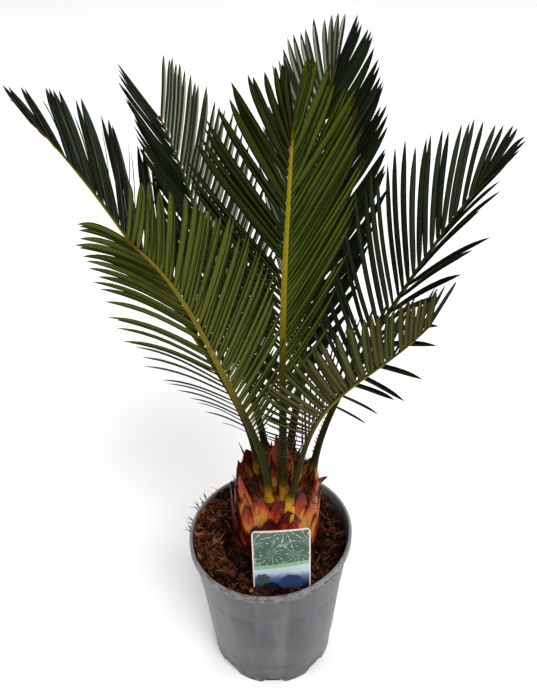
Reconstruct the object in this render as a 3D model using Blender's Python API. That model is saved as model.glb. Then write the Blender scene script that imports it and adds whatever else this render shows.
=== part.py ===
"""A sago palm in its nursery pot: pot, soil, scaly trunk, crown bud, seven fronds and a plant label.

Metres, +Z up. The origin is the centre of the pot's underside and the plant's front faces -Y.
"""

from math import cos, pi, radians, sin
from types import SimpleNamespace

import bmesh
import bpy
import numpy as np
from mathutils import Matrix, Vector

MM = 0.001
GAP = 0.3 * MM
SHARP_ANGLE = radians(40)

# Pot
POT_HEIGHT = 160 * MM
POT_FOOT_RADIUS = 58.7 * MM
POT_NECK_RADIUS = 72 * MM
POT_WALL = 2 * MM
POT_FLOOR = 3 * MM
POT_STEP = 0.6 * MM
POT_STEP_HEIGHTS = (33 * MM, 113 * MM)
POT_OVAL = 0.028
POT_ROUND_UNTIL = 40 * MM
LIP_RADIUS = 75 * MM
LIP_HEIGHT = 9 * MM
LIP_EDGE = 1 * MM
NOTCH_COUNT = 8
NOTCH_HEIGHT = 8 * MM
NOTCH_WIDTH_LOW = 25 * MM
NOTCH_WIDTH_HIGH = 13 * MM
NOTCH_DEPTH = 9 * MM
POT_SIDES = 48
WALL_HEIGHTS = (30 * MM, 60 * MM, 90 * MM, 115 * MM, 138 * MM)

# Soil
SOIL_LEVEL = 149.5 * MM
SOIL_SIDE_GAP = 0.36 * MM
SOIL_EDGE = 1 * MM
SOIL_SHOULDER = 6 * MM
SOIL_RIDGE = 14 * MM
SOIL_COLLAR = 5 * MM
SOIL_TILT = 4 * MM
SOIL_TILT_TOWARDS = radians(180)
# Uneven clumps: height, waves round the pot, radians for each metre outwards and phase
SOIL_CLUMPS = ((1.2 * MM, 3, 90, 1), (0.72 * MM, 7, 260, 0))

# Trunk
TRUNK_FOOT = Vector((3.7 * MM, -1 * MM, 138 * MM))
TRUNK_TOP = Vector((6.5 * MM, -4 * MM, 234 * MM))
TRUNK_FOOT_RADIUS = 39.5 * MM
TRUNK_WIDEST_RADIUS = 42.6 * MM
TRUNK_WIDEST_HEIGHT = 182 * MM
TRUNK_TOP_RADIUS = 35.5 * MM
TRUNK_STRAIGHT_UNTIL = 158 * MM
TRUNK_TAPER_POWER = 1.6
TRUNK_SIDES = 36
TRUNK_RINGS = 9

# Woolly bud in the middle of the crown
BUD_CENTRE = Vector((9 * MM, -2 * MM, 0))
BUD_RADIUS = 11 * MM
BUD_HEIGHT = 50 * MM
BUD_TAPER_POWER = 2.2
BUD_SIDES = 16
BUD_RINGS = (0, 0.2, 0.4, 0.6, 0.8, 0.93)

# Label
LABEL_FOOT = Vector((9.1 * MM, -57 * MM, 147.6 * MM))
LABEL_WIDTH = 50 * MM
LABEL_HEIGHT = 68 * MM
LABEL_THICKNESS = 0.8 * MM
LABEL_CORNER = 4 * MM
LABEL_CORNER_STEPS = 4
LABEL_LEAN = radians(9)
LABEL_YAW = radians(3.5)
STAKE_WIDTH = 14 * MM
STAKE_LENGTH = 28 * MM

# Fronds
STALK_BASE_RADIUS = 4.4 * MM
STALK_RADIUS = 3.5 * MM
STALK_END_RADIUS = 2.5 * MM
STALK_FLARE_POWER = 6
STALK_SIDES = 10
STALK_RINGS = 8
BLADE_THICKNESS = 2 * MM
BLADE_GAP = 0.6 * MM
BLADE_STATIONS = 11
SPINE_STEPS = 40
LEAFLET_STEPS = 6
WING_COLUMNS = 3
# Leaflets start at this share of the longest, reach it and shrink again at these places along the blade
BASE_SHARE = 0.35
FULL_FROM = 0.3
GROW_POWER = 0.8
TAPER_FROM = 0.45
FADE_POWER = 1.6


def frond(name, base, length, azimuth, rise, bend_power, wave, twist, leafless, angle, lift_left,
          lift_right, leaflet, curl, tip_share):
    """One frond's sizes.

    base        place on the crown, x and y in mm
    length      of stalk and rib together, mm
    azimuth     heading at the foot, its change to the tip and its sideways bow, degrees
    rise        elevation of the rib at foot and tip, degrees
    wave        how far the elevation swings above and below that bend, degrees
    twist       of the blade about its rib at foot and tip, degrees
    leafless    share of the length that is bare stalk
    angle       between rib and leaflets at the first and the last leaflet, degrees
    lift_left, lift_right   of each row out of the frond's plane at its first and last leaflet, degrees
    leaflet     length of the longest leaflet, mm
    curl        of the leaflets forwards and downwards, as shares of their length
    tip_share   length of the last leaflets as a share of the longest
    """
    return SimpleNamespace(
        name=name, base=(base[0] * MM, base[1] * MM), length=length * MM,
        azimuth=azimuth, rise=rise, bend_power=bend_power, wave=wave, twist=twist, leafless=leafless,
        angle=angle, lift_left=lift_left, lift_right=lift_right, leaflet=leaflet * MM, curl=curl,
        tip_share=tip_share,
    )


FRONDS = (
    frond("front", (11, -25), 356, (271, 4, 2), (88, 73), 1.3, 6, (2, 1), 0.25, (69, 26),
          (48, 31), (44, 31), 98, (0.28, 0.06), 0.36),
    frond("front_left", (-0.5, -27), 326, (227, 5, 3), (87, 49), 1.05, -6.5, (21, 30), 0.25, (67, 30),
          (55, 53), (12, 17), 78, (0.28, 0.16), 0.40),
    frond("front_right", (15.5, -33), 228, (337, 22, -12), (79, 55), 0.6, 10, (0, -15), 0.23, (70, 42),
          (36, 15), (43, 64), 65, (0.12, 0.0), 0.38),
    frond("left", (-10.5, 1.7), 342, (165, -8, 5), (94, 43.5), 0.62, -5.8, (13, 8), 0.27, (60, 20),
          (45, 25), (19, 19), 103, (0.38, 0.18), 0.40),
    frond("back_left", (-1.5, 16.5), 305, (131, 1, 1), (78, 55), 1.25, -4, (5, 0), 0.24, (50, 26),
          (43, 18), (33, 21), 96, (0.40, 0.06), 0.52),
    frond("back", (16, 14), 337, (62, -2, 18), (74, 50), 1.75, -13, (11, 6), 0.23, (44, 30),
          (50, 25), (34, 22), 106, (0.48, -0.08), 0.38),
    frond("right", (37, -2.5), 300, (22, -1, -11.5), (90, 50), 0.6, -3, (8, 5), 0.24, (65, 22),
          (42, 26), (10, 22), 106, (0.28, 0.30), 0.30),
)


def clear_scene():
    for obj in list(bpy.data.objects):
        bpy.data.objects.remove(obj, do_unlink=True)


def material(name, colour, roughness, metallic=0.0):
    made = bpy.data.materials.new(name)
    made.use_nodes = True
    shader = made.node_tree.nodes["Principled BSDF"]
    shader.inputs["Base Color"].default_value = (*colour, 1)
    shader.inputs["Roughness"].default_value = roughness
    shader.inputs["Metallic"].default_value = metallic
    made.diffuse_color = (*colour, 1)
    return made


def mesh_object(name, vertices, faces, look, smooth=True):
    mesh = bpy.data.meshes.new(name)
    mesh.from_pydata([tuple(v) for v in vertices], [], faces)
    mesh.materials.append(look)
    if smooth:
        mesh.shade_smooth()
        mesh.set_sharp_from_angle(angle=SHARP_ANGLE)
    obj = bpy.data.objects.new(name, mesh)
    bpy.context.scene.collection.objects.link(obj)
    return obj


def turned(name, profile, sides, look, place):
    """A turned solid. The profile runs from the axis below, up its outside, to the axis above.

    place(radius, turn, z) gives the point of each corner, so a ring can be oval, uneven or shifted.
    """
    turns = [2 * pi * k / sides for k in range(sides)]
    vertices = [place(0, 0, profile[0][1])]
    for radius, z in profile[1:-1]:
        vertices += [place(radius, turn, z) for turn in turns]
    vertices.append(place(0, 0, profile[-1][1]))
    last = len(vertices) - 1
    rings = len(profile) - 2
    faces = []
    for k in range(sides):
        after = (k + 1) % sides
        faces.append((0, 1 + after, 1 + k))
        faces.append((last, last - sides + k, last - sides + after))
        for ring in range(rings - 1):
            low = 1 + ring * sides
            high = low + sides
            faces.append((low + k, low + after, high + after, high + k))
    return mesh_object(name, vertices, faces, look)


def cut(obj, cutter):
    """Takes the hidden helper's shape out of the object."""
    cutter.hide_render = True
    cutter.display_type = "WIRE"
    boolean = obj.modifiers.new("cut " + cutter.name, "BOOLEAN")
    boolean.operation = "DIFFERENCE"
    boolean.solver = "EXACT"
    boolean.object = cutter


def smoothstep(value, low, high):
    share = min(max((value - low) / (high - low), 0), 1)
    return share * share * (3 - 2 * share)


def pot_radius(z):
    """The pot's outer radius, without its steps and lip."""
    neck_height = POT_HEIGHT - LIP_HEIGHT
    return POT_FOOT_RADIUS + (POT_NECK_RADIUS - POT_FOOT_RADIUS) * z / neck_height


def in_pot(radius, turn, z):
    """A point of the pot or soil: the pot is pulled oval towards its rim."""
    pull = POT_OVAL * (z / POT_HEIGHT) ** 2 * sin(2 * turn)
    radius *= 1 + pull * smoothstep(radius, POT_ROUND_UNTIL, POT_FOOT_RADIUS)
    return (radius * cos(turn), radius * sin(turn), z)


def build_pot():
    low_step, high_step = POT_STEP_HEIGHTS
    neck = POT_HEIGHT - LIP_HEIGHT
    outside = [
        (0, 0),
        (POT_FOOT_RADIUS - NOTCH_DEPTH - 2 * POT_WALL, 0),
        (POT_FOOT_RADIUS - LIP_EDGE, 0),
        (POT_FOOT_RADIUS, LIP_EDGE),
        (pot_radius(low_step) - POT_STEP, low_step),
        (pot_radius(low_step), low_step + POT_STEP),
        (pot_radius(high_step) - POT_STEP, high_step),
        (pot_radius(high_step), high_step + POT_STEP),
        (POT_NECK_RADIUS, neck),
        (LIP_RADIUS, neck + LIP_EDGE),
        (LIP_RADIUS, POT_HEIGHT - LIP_EDGE),
        (LIP_RADIUS - LIP_EDGE, POT_HEIGHT),
    ]
    rim_inside = [
        (POT_NECK_RADIUS, POT_HEIGHT),
        (POT_NECK_RADIUS - LIP_EDGE, POT_HEIGHT - LIP_EDGE),
        (pot_radius(neck) - POT_WALL, neck),
    ]
    wall_inside = [(pot_radius(z) - POT_WALL, z) for z in reversed(WALL_HEIGHTS)]
    floor_inside = [(pot_radius(POT_FLOOR) - POT_WALL, POT_FLOOR), (0, POT_FLOOR)]
    look = material("pot plastic", (0.22, 0.23, 0.235), 0.42)
    pot = turned("pot", outside + rim_inside + wall_inside + floor_inside, POT_SIDES, look, in_pot)
    cut(pot, notch_cutter())


def notch_cutter():
    """Wedges, one for each drainage notch round the foot."""
    inner = POT_FOOT_RADIUS - NOTCH_DEPTH
    outer = POT_FOOT_RADIUS + 2 * POT_WALL
    below = -POT_FLOOR
    slope = (NOTCH_WIDTH_LOW - NOTCH_WIDTH_HIGH) / NOTCH_HEIGHT
    low_half = (NOTCH_WIDTH_LOW - slope * below) / 2
    high_half = NOTCH_WIDTH_HIGH / 2
    section = [(-low_half, below), (low_half, below), (high_half, NOTCH_HEIGHT), (-high_half, NOTCH_HEIGHT)]
    vertices = []
    faces = []
    for k in range(NOTCH_COUNT):
        turn = Matrix.Rotation(2 * pi * k / NOTCH_COUNT, 4, "Z")
        first = len(vertices)
        for reach in (outer, inner):
            vertices += [turn @ Vector((across, -reach, z)) for across, z in section]
        faces.append([first + c for c in (0, 1, 2, 3)])
        faces.append([first + c for c in (7, 6, 5, 4)])
        for c in range(4):
            after = (c + 1) % 4
            faces.append([first + after, first + c, first + 4 + c, first + 4 + after])
    return mesh_object("notch cutter", vertices, faces, material("notch", (1, 0, 0), 0.5), smooth=False)


def build_soil():
    heights = (POT_FLOOR + GAP, *WALL_HEIGHTS)
    side = [(pot_radius(z) - POT_WALL - SOIL_SIDE_GAP, z) for z in heights]
    rim = side[-1][0]
    hole = TRUNK_FOOT_RADIUS + GAP
    bottom = TRUNK_FOOT.z - GAP
    mound = [
        (rim - SOIL_EDGE, SOIL_LEVEL - SOIL_SHOULDER / 2),
        (rim - SOIL_SHOULDER, SOIL_LEVEL),
        (rim - SOIL_RIDGE, SOIL_LEVEL),
        (hole + SOIL_COLLAR, SOIL_LEVEL),
        (hole, SOIL_LEVEL),
        (hole, bottom),
        (0, bottom),
    ]

    def place(radius, turn, z):
        if z > bottom + GAP and radius < rim:
            z += SOIL_TILT * cos(turn - SOIL_TILT_TOWARDS)
            for height, waves, outwards, phase in SOIL_CLUMPS:
                z += height * sin(waves * turn + outwards * radius + phase)
        x, y, z = in_pot(radius, turn, z)
        if radius <= hole:
            x, y = x + TRUNK_FOOT.x, y + TRUNK_FOOT.y
        return (x, y, z)

    look = material("soil peat", (0.045, 0.025, 0.015), 0.95)
    soil = turned("soil", [(0, POT_FLOOR + GAP)] + side + mound, POT_SIDES, look, place)
    cut(soil, label_solid("label slot", material("slot", (1, 0, 0), 0.5), GAP))


def trunk_radius(z):
    """Straight at the soil, widest low down, drawn in towards the crown."""
    if z <= TRUNK_STRAIGHT_UNTIL:
        return TRUNK_FOOT_RADIUS
    if z <= TRUNK_WIDEST_HEIGHT:
        share = smoothstep(z, TRUNK_STRAIGHT_UNTIL, TRUNK_WIDEST_HEIGHT)
        return TRUNK_FOOT_RADIUS + (TRUNK_WIDEST_RADIUS - TRUNK_FOOT_RADIUS) * share
    share = (z - TRUNK_WIDEST_HEIGHT) / (TRUNK_TOP.z - TRUNK_WIDEST_HEIGHT)
    return TRUNK_WIDEST_RADIUS + (TRUNK_TOP_RADIUS - TRUNK_WIDEST_RADIUS) * share ** TRUNK_TAPER_POWER


def build_trunk():
    heights = np.linspace(TRUNK_STRAIGHT_UNTIL, TRUNK_TOP.z, TRUNK_RINGS)
    profile = [(0, TRUNK_FOOT.z), (TRUNK_FOOT_RADIUS, TRUNK_FOOT.z)]
    profile += [(trunk_radius(z), z) for z in heights]
    profile += [(0, TRUNK_TOP.z)]

    def place(radius, turn, z):
        share = smoothstep(z, TRUNK_STRAIGHT_UNTIL, TRUNK_TOP.z)
        axis = TRUNK_FOOT.lerp(TRUNK_TOP, share)
        return (axis.x + radius * cos(turn), axis.y + radius * sin(turn), z)

    turned("trunk", profile, TRUNK_SIDES, material("trunk scales", (0.30, 0.10, 0.04), 0.75), place)


def build_bud():
    foot = TRUNK_TOP.z + GAP
    profile = [(0, foot)]
    for share in BUD_RINGS:
        profile.append((BUD_RADIUS * (1 - share ** BUD_TAPER_POWER), foot + BUD_HEIGHT * share))
    profile += [(0, foot + BUD_HEIGHT)]

    def place(radius, turn, z):
        return (BUD_CENTRE.x + radius * cos(turn), BUD_CENTRE.y + radius * sin(turn), z)

    turned("crown_bud", profile, BUD_SIDES, material("bud wool", (0.20, 0.10, 0.05), 0.9), place)


def label_outline(margin):
    """The card's rounded outline with its stake, seen from the front, anticlockwise from the stake."""
    half = LABEL_WIDTH / 2
    stake = STAKE_WIDTH / 2 + margin
    points = [(0, -STAKE_LENGTH - margin), (stake, -STAKE_LENGTH + STAKE_WIDTH / 2), (stake, 0)]
    for x, z, start in ((half, 0, -90), (half, LABEL_HEIGHT, 0), (-half, LABEL_HEIGHT, 90), (-half, 0, 180)):
        centre_x = x - LABEL_CORNER if x > 0 else x + LABEL_CORNER
        centre_z = z - LABEL_CORNER if z > 0 else z + LABEL_CORNER
        for step in range(LABEL_CORNER_STEPS + 1):
            turn = radians(start + 90 * step / LABEL_CORNER_STEPS)
            points.append((centre_x + LABEL_CORNER * cos(turn), centre_z + LABEL_CORNER * sin(turn)))
    points += [(-stake, 0), (-stake, -STAKE_LENGTH + STAKE_WIDTH / 2)]
    return points


def label_solid(name, look, margin):
    half = LABEL_THICKNESS / 2 + margin
    outline = label_outline(margin)
    turn = Matrix.Rotation(LABEL_YAW, 4, "Z") @ Matrix.Rotation(-LABEL_LEAN, 4, "X")
    place = Matrix.Translation(LABEL_FOOT) @ turn
    vertices = [place @ Vector((x, y, z)) for y in (-half, half) for x, z in outline]
    count = len(outline)
    faces = [list(range(count)), list(range(2 * count - 1, count - 1, -1))]
    faces += [[(k + 1) % count, k, count + k, count + (k + 1) % count] for k in range(count)]
    return mesh_object(name, vertices, faces, look, smooth=False)


def unit(vector):
    return vector / np.linalg.norm(vector, axis=-1, keepdims=True)


def spine(leaf):
    """Shares of the frond's length with the rib's points, headings, left sides and upper sides there."""
    share = np.linspace(0, 1, SPINE_STEPS + 1)
    rise = leaf.rise[0] + (leaf.rise[1] - leaf.rise[0]) * share ** leaf.bend_power
    rise = np.radians(rise + leaf.wave * np.sin(2 * pi * share))
    start, change, bow = leaf.azimuth
    azimuth = np.radians(start + change * share + bow * np.sin(pi * share))
    heading = np.stack([np.cos(rise) * np.cos(azimuth), np.cos(rise) * np.sin(azimuth), np.sin(rise)], 1)
    steps = (heading[1:] + heading[:-1]) / 2 * leaf.length / SPINE_STEPS
    foot = np.array([*leaf.base, TRUNK_TOP.z])
    points = np.vstack([foot, foot + np.cumsum(steps, axis=0)])
    flat = np.stack([-np.sin(azimuth), np.cos(azimuth), np.zeros_like(share)], 1)
    above = np.cross(heading, flat)
    twist = np.radians(leaf.twist[0] + (leaf.twist[1] - leaf.twist[0]) * share)[:, None]
    left = flat * np.cos(twist) + above * np.sin(twist)
    upper = above * np.cos(twist) - flat * np.sin(twist)
    return share, points, heading, left, upper


def at(shares, share, values):
    return np.stack([np.interp(shares, share, values[:, axis]) for axis in range(3)], 1)


def wing(leaf, places, side):
    """Points along the leaflets of one row (side 1 is the left row, -1 the right), at places 0 to 1."""
    share, points, heading, left, upper = spine(leaf)
    shares = leaf.leafless + (1 - leaf.leafless) * places
    foot, along, out, up = (at(shares, share, v) for v in (points, heading, left * side, upper))
    lifts = leaf.lift_left if side > 0 else leaf.lift_right
    angle = np.radians(leaf.angle[0] + (leaf.angle[1] - leaf.angle[0]) * places)[:, None]
    lift = np.radians(lifts[0] + (lifts[1] - lifts[0]) * places)[:, None]
    start = np.cos(angle) * along + np.sin(angle) * (np.cos(lift) * out + np.sin(lift) * up)
    grow = BASE_SHARE + (1 - BASE_SHARE) * np.clip(places / FULL_FROM, 0, 1) ** GROW_POWER
    late = np.clip((places - TAPER_FROM) / (1 - TAPER_FROM), 0, 1)
    fade = 1 - (1 - leaf.tip_share) * late ** FADE_POWER
    length = (leaf.leaflet * grow * fade)[:, None]
    forwards, downwards = leaf.curl
    rows = [foot]
    for step in range(LEAFLET_STEPS):
        bend = ((step + 0.5) / LEAFLET_STEPS) ** 2
        direction = unit(start + bend * (forwards * along - downwards * np.array([0, 0, 1])))
        rows.append(rows[-1] + direction * length / LEAFLET_STEPS)
    return np.stack(rows, 1)


def build_blade(leaf, look):
    """The outline of a frond's two rows of leaflets, as one folded sheet given a thickness."""
    places = np.linspace(0, 1, BLADE_STATIONS)
    keep = slice(None, None, LEAFLET_STEPS // WING_COLUMNS)
    left = wing(leaf, places, 1)[:, keep]
    right = wing(leaf, places, -1)[:, keep]
    rows = np.concatenate([left[:, :0:-1], right], axis=1)
    width = rows.shape[1]
    faces = []
    for row in range(BLADE_STATIONS - 1):
        for column in range(width - 1):
            corner = row * width + column
            faces.append((corner, corner + 1, corner + width + 1, corner + width))
    blade = mesh_object(leaf.name + "_frond_blade", rows.reshape(-1, 3), faces, look, smooth=False)
    thicken = blade.modifiers.new("thickness", "SOLIDIFY")
    thicken.thickness = BLADE_THICKNESS
    thicken.offset = 0
    thicken.use_even_offset = True


def build_stalk(leaf, look):
    """The bare stalk, cut flat where it stands on the trunk and square where the blade begins."""
    share, points, heading, left, upper = spine(leaf)
    end = leaf.leafless - BLADE_GAP / leaf.length
    shares = np.linspace(0, end, STALK_RINGS)
    centre, along, side, up = (at(shares, share, v) for v in (points, heading, left, upper))
    floor = TRUNK_TOP.z + GAP
    vertices = []
    for ring in range(STALK_RINGS):
        travelled = ring / (STALK_RINGS - 1)
        radius = STALK_RADIUS + (STALK_END_RADIUS - STALK_RADIUS) * travelled
        radius += (STALK_BASE_RADIUS - STALK_RADIUS) * (1 - travelled) ** STALK_FLARE_POWER
        for k in range(STALK_SIDES):
            turn = 2 * pi * k / STALK_SIDES
            point = centre[ring] + radius * (cos(turn) * side[ring] + sin(turn) * up[ring])
            if ring == 0:
                point = point + along[ring] * (floor - point[2]) / along[ring][2]
            vertices.append(point)
    faces = [list(range(STALK_SIDES - 1, -1, -1))]
    for ring in range(STALK_RINGS - 1):
        low = ring * STALK_SIDES
        for k in range(STALK_SIDES):
            after = (k + 1) % STALK_SIDES
            faces.append((low + k, low + after, low + STALK_SIDES + after, low + STALK_SIDES + k))
    last = (STALK_RINGS - 1) * STALK_SIDES
    faces.append([last + k for k in range(STALK_SIDES)])
    mesh_object(leaf.name + "_frond_stalk", vertices, faces, look)


def turn_faces_out():
    for obj in bpy.data.objects:
        if obj.modifiers and obj.modifiers[0].type == "SOLIDIFY":
            continue
        shape = bmesh.new()
        shape.from_mesh(obj.data)
        bmesh.ops.recalc_face_normals(shape, faces=shape.faces)
        shape.to_mesh(obj.data)
        shape.free()


def main():
    clear_scene()
    build_pot()
    build_soil()
    build_trunk()
    build_bud()
    label_solid("label", material("label card", (0.75, 0.78, 0.76), 0.35), 0)
    for leaf in FRONDS:
        build_blade(leaf, material(leaf.name + " leaflets", (0.05, 0.10, 0.03), 0.4))
        build_stalk(leaf, material(leaf.name + " stalk", (0.16, 0.17, 0.06), 0.5))
    turn_faces_out()


main()
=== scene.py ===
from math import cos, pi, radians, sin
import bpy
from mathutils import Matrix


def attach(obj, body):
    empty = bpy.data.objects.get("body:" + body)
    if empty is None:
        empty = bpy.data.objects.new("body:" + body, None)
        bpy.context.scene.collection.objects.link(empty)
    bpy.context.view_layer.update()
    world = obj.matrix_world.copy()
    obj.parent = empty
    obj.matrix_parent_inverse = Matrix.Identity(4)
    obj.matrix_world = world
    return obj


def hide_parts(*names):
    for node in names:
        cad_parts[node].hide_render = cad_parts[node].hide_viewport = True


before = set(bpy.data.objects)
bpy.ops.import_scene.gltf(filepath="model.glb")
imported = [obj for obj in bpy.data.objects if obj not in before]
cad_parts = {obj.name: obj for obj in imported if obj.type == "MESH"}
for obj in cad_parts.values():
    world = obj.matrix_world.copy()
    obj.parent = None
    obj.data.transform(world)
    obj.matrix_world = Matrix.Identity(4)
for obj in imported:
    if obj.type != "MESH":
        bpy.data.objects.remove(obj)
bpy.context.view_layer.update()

# Looks of a sago palm in its nursery pot: ribbed fronds of separate leaflets, a trunk of pointed scales,
# a woolly crown, peat with coir, a printed plant label and a moulded grey pot.
# Metres, +Z up. The origin is the centre of the pot's underside and the plant's front faces -Y.

from types import SimpleNamespace

import bmesh
import bpy
import numpy as np
from mathutils import Matrix, Vector, noise

MM = 0.001

# Camera: where the photograph was taken from
CAMERA_PLACE = (0.7 * MM, -489 * MM, 740 * MM)
CAMERA_PITCH = radians(37.22)
CAMERA_ROLL = radians(-1)
LENS = 41.14

# Studio
SUN_FROM = Vector((0.35, -0.75, 1.25))
SUN_POWER = 2.15
SUN_ANGLE = radians(30)
SKY_POWER = 0.44
FLOOR_REACH = 8
SOFTBOX_AIM = Vector((0, 0, 0.25))
# Name, place, size and power
SOFTBOXES = (
    ("left softbox", (-1.5, -0.7, 0.9), (0.4, 1.6), 10),
    ("right softbox", (1.6, -0.5, 0.9), (0.4, 1.6), 10),
    ("back softbox", (0.3, 1.8, 1.6), (1.6, 0.8), 12),
)

# Pot, soil and trunk, the same sizes as the solids
POT_HEIGHT = 160 * MM
POT_FOOT_RADIUS = 58.7 * MM
POT_NECK_RADIUS = 72 * MM
POT_OVAL = 0.028
POT_ROUND_UNTIL = 40 * MM
POT_WALL = 1.5 * MM
POT_FLOOR = 2.5 * MM
POT_STEP = 1.2 * MM
POT_STEP_HEIGHTS = (33 * MM, 113 * MM)
POT_SIDES = 192
LIP_RADIUS = 75 * MM
LIP_HEIGHT = 9 * MM
LIP_ROUND = 1.3 * MM
NECK_HEIGHT = POT_HEIGHT - LIP_HEIGHT
NOTCH_COUNT = 8
NOTCH_HEIGHT = 8 * MM
NOTCH_WIDTH_LOW = 25 * MM
NOTCH_WIDTH_HIGH = 13 * MM
NOTCH_DEPTH = 9 * MM
NOTCH_ROUND = 1.2 * MM

SOIL_LEVEL = 149.5 * MM
SOIL_TILT = 4 * MM
SOIL_TILT_TOWARDS = radians(180)
SOIL_RISE = 5.5 * MM
SOIL_RISE_TOWARDS = radians(150)
SOIL_GAP = 0.15 * MM
SOIL_SIDES = 360
SOIL_RINGS = 64
CRUMB_COUNT = 1500
CRUMB_COLOURS = ("#0a0302", "#180906", "#2e130a", "#4c220f", "#7a5232")
CRUMB_SHARES = (0.36, 0.32, 0.2, 0.1, 0.02)
FIBRE_COLOURS = ("#3c1c0c", "#5e3216", "#7a4a24", "#96703e", "#1c0d07")
FIBRE_COUNT = 620
FIBRE_SHARES = (0.3, 0.28, 0.2, 0.08, 0.14)
MAT_COUNT = 320
MAT_SHARES = (0.2, 0.3, 0.3, 0.2)
MAT_TURNS = (radians(140), radians(220))
# Tufts that reach over the rim: where, how far and how many fibres
TUFTS = ((radians(152), 13 * MM, 13), (radians(174), 11 * MM, 11), (radians(205), 6 * MM, 6))

TRUNK_FOOT = Vector((3.7 * MM, -1 * MM, 138 * MM))
TRUNK_TOP = Vector((6.5 * MM, -4 * MM, 234 * MM))
TRUNK_FOOT_RADIUS = 39.5 * MM
TRUNK_WIDEST_RADIUS = 42.6 * MM
TRUNK_WIDEST_HEIGHT = 182 * MM
TRUNK_TOP_RADIUS = 35.5 * MM
TRUNK_STRAIGHT_UNTIL = 158 * MM
TRUNK_TAPER_POWER = 1.6
CORE_DEPTH = 5.5 * MM
GOLDEN_TURN = radians(137.508)
SCALE_ROWS = 11
SCALE_COLUMNS = 9
SCALE_COUNT = 62
SCALES_FROM = 126 * MM
SCALES_CLIMB = 91 * MM
COLLAR_COUNT = 15
# Side of the trunk on which the scales have dried dark
DARK_SIDE = radians(212)

BUD_CENTRE = Vector((9 * MM, -2 * MM, 0))
BUD_RADIUS = 11 * MM
BUD_HEIGHT = 50 * MM
CATAPHYLL_COUNT = 46
WOOL_COUNT = 4600
WOOL_COLOURS = ("#3f1a0d", "#562a17", "#290e08", "#7a4a2a")

# Label
LABEL_FOOT = Vector((9.1 * MM, -57 * MM, 147.6 * MM))
LABEL_WIDTH = 50 * MM
LABEL_HEIGHT = 68 * MM
LABEL_THICKNESS = 0.8 * MM
LABEL_BOW = 1.2 * MM
LABEL_CORNER = 4 * MM
LABEL_LEAN = radians(9)
LABEL_YAW = radians(3.5)
STAKE_WIDTH = 14 * MM
STAKE_LENGTH = 28 * MM
# Rosettes of the printed picture, in card widths and heights: middle, radius, stripes, light and dark
ROSETTES = (
    (0.5, 1.02, 0.3, 13, "#4a675a", "#12301f"), (0.02, 0.8, 0.3, 12, "#466256", "#0f2c1b"),
    (0.98, 0.82, 0.3, 12, "#466256", "#0f2c1b"), (0.3, 0.62, 0.26, 14, "#3a5a4c", "#0a2214"),
    (0.76, 0.6, 0.26, 13, "#425f53", "#0c2616"),
)
# Round shapes under them: middle, radius and colour
HILLS = ((0.16, 0.2, 0.13, "#3c4e48"), (0.66, 0.12, 0.2, "#303e66"), (0.3, 0.03, 0.16, "#141c22"))

# Fronds, the same curves as the solids
SPINE_STEPS = 120
BASE_SHARE = 0.35
FULL_FROM = 0.3
GROW_POWER = 0.8
TAPER_FROM = 0.45
FADE_POWER = 1.6
LINE_STEPS = 24
STALK_BASE_RADIUS = 4.4 * MM
STALK_RADIUS = 3.6 * MM
RIB_START_RADIUS = 2.6 * MM
RIB_END_RADIUS = 0.7 * MM
# Rings of a stalk's pointed foot, in mm: how far below the crown and outwards, half its width and depth
STALK_FOOT = ((24, 12, 0.8, 0.6), (18, 9, 2.8, 1.6), (11, 5, 4.6, 2.6), (4, 1.2, 5.0, 3.8))
# How far inside the trunk's outline the foot stays
STALK_FOOT_SUNK = 4 * MM
RIB_SIDES = 14
RIB_RINGS = 90
THORN_COUNT = 11
THORN_RADIUS = 0.6 * MM

# A leaflet's section in half widths, rolled down at its margins, grooved above and ribbed below
LEAFLET_UPPER = ((-1, -0.46), (-0.8, -0.1), (-0.15, 0.06), (0, -0.08), (0.15, 0.06), (0.8, -0.1), (1, -0.46))
LEAFLET_UNDER = ((0.78, -0.28), (0.17, -0.13), (0, -0.32), (-0.17, -0.13), (-0.78, -0.28))
# Faces of that section by what they belong to: the underside, its midrib and the rolled margins
UNDER_FACES = (6, 7, 8, 9, 10, 11)
# The midrib's lighter colour is partly its own and partly a painted highlight; the margins are painted shade
MIDRIB_FACES = (8, 9)
MARGIN_FACES = (0, 5, 6, 11)
# Faces above that are painted in shade, in the margin's dark colour, on a leaflet with a painted sheen
SHADED_FACES = (3, 4)
# Rings along it, in steps of its middle line, with its width there
LEAFLET_RINGS = (0, 1, 3, 6, 9, 12, 15, 18, 20, 22, 23)
LEAFLET_WIDTHS = (0.5, 0.7, 0.92, 1, 1, 1, 1, 0.94, 0.8, 0.5, 0.28)
# From this place along the blade the leaflets close up towards the rib's heading
CLOSE_FROM = 0.84
DRY_SHARE = 0.6


def row(count, width, roll, bunch=0.5, gaps=0.03, curl=None, fan=1, stretch=1.0, family="deep", close=0.3,
        lift=None, ease=1, unruly=1):
    """One row of a frond's leaflets.

    width       of a leaflet, mm
    roll        of its first and last leaflets about their own length, degrees
    bunch       how far neighbours' tips are drawn together, 0 to 1
    gaps        share of leaflets that are missing
    curl, lift  as the frond's, where this row's differ
    fan         number of last leaflets that stand together
    stretch     of the leaflets' length
    family      name of its set of colours
    close       share of its angle to the rib that the last leaflet keeps
    ease        how early the roll nears its last value: a power, 1 for evenly
    unruly      how far single leaflets stray, 1 for the usual
    """
    return SimpleNamespace(count=count, width=width * MM, roll=roll, bunch=bunch, gaps=gaps, curl=curl, fan=fan,
                           stretch=stretch, family=family, close=close, lift=lift, ease=ease, unruly=unruly)


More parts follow.
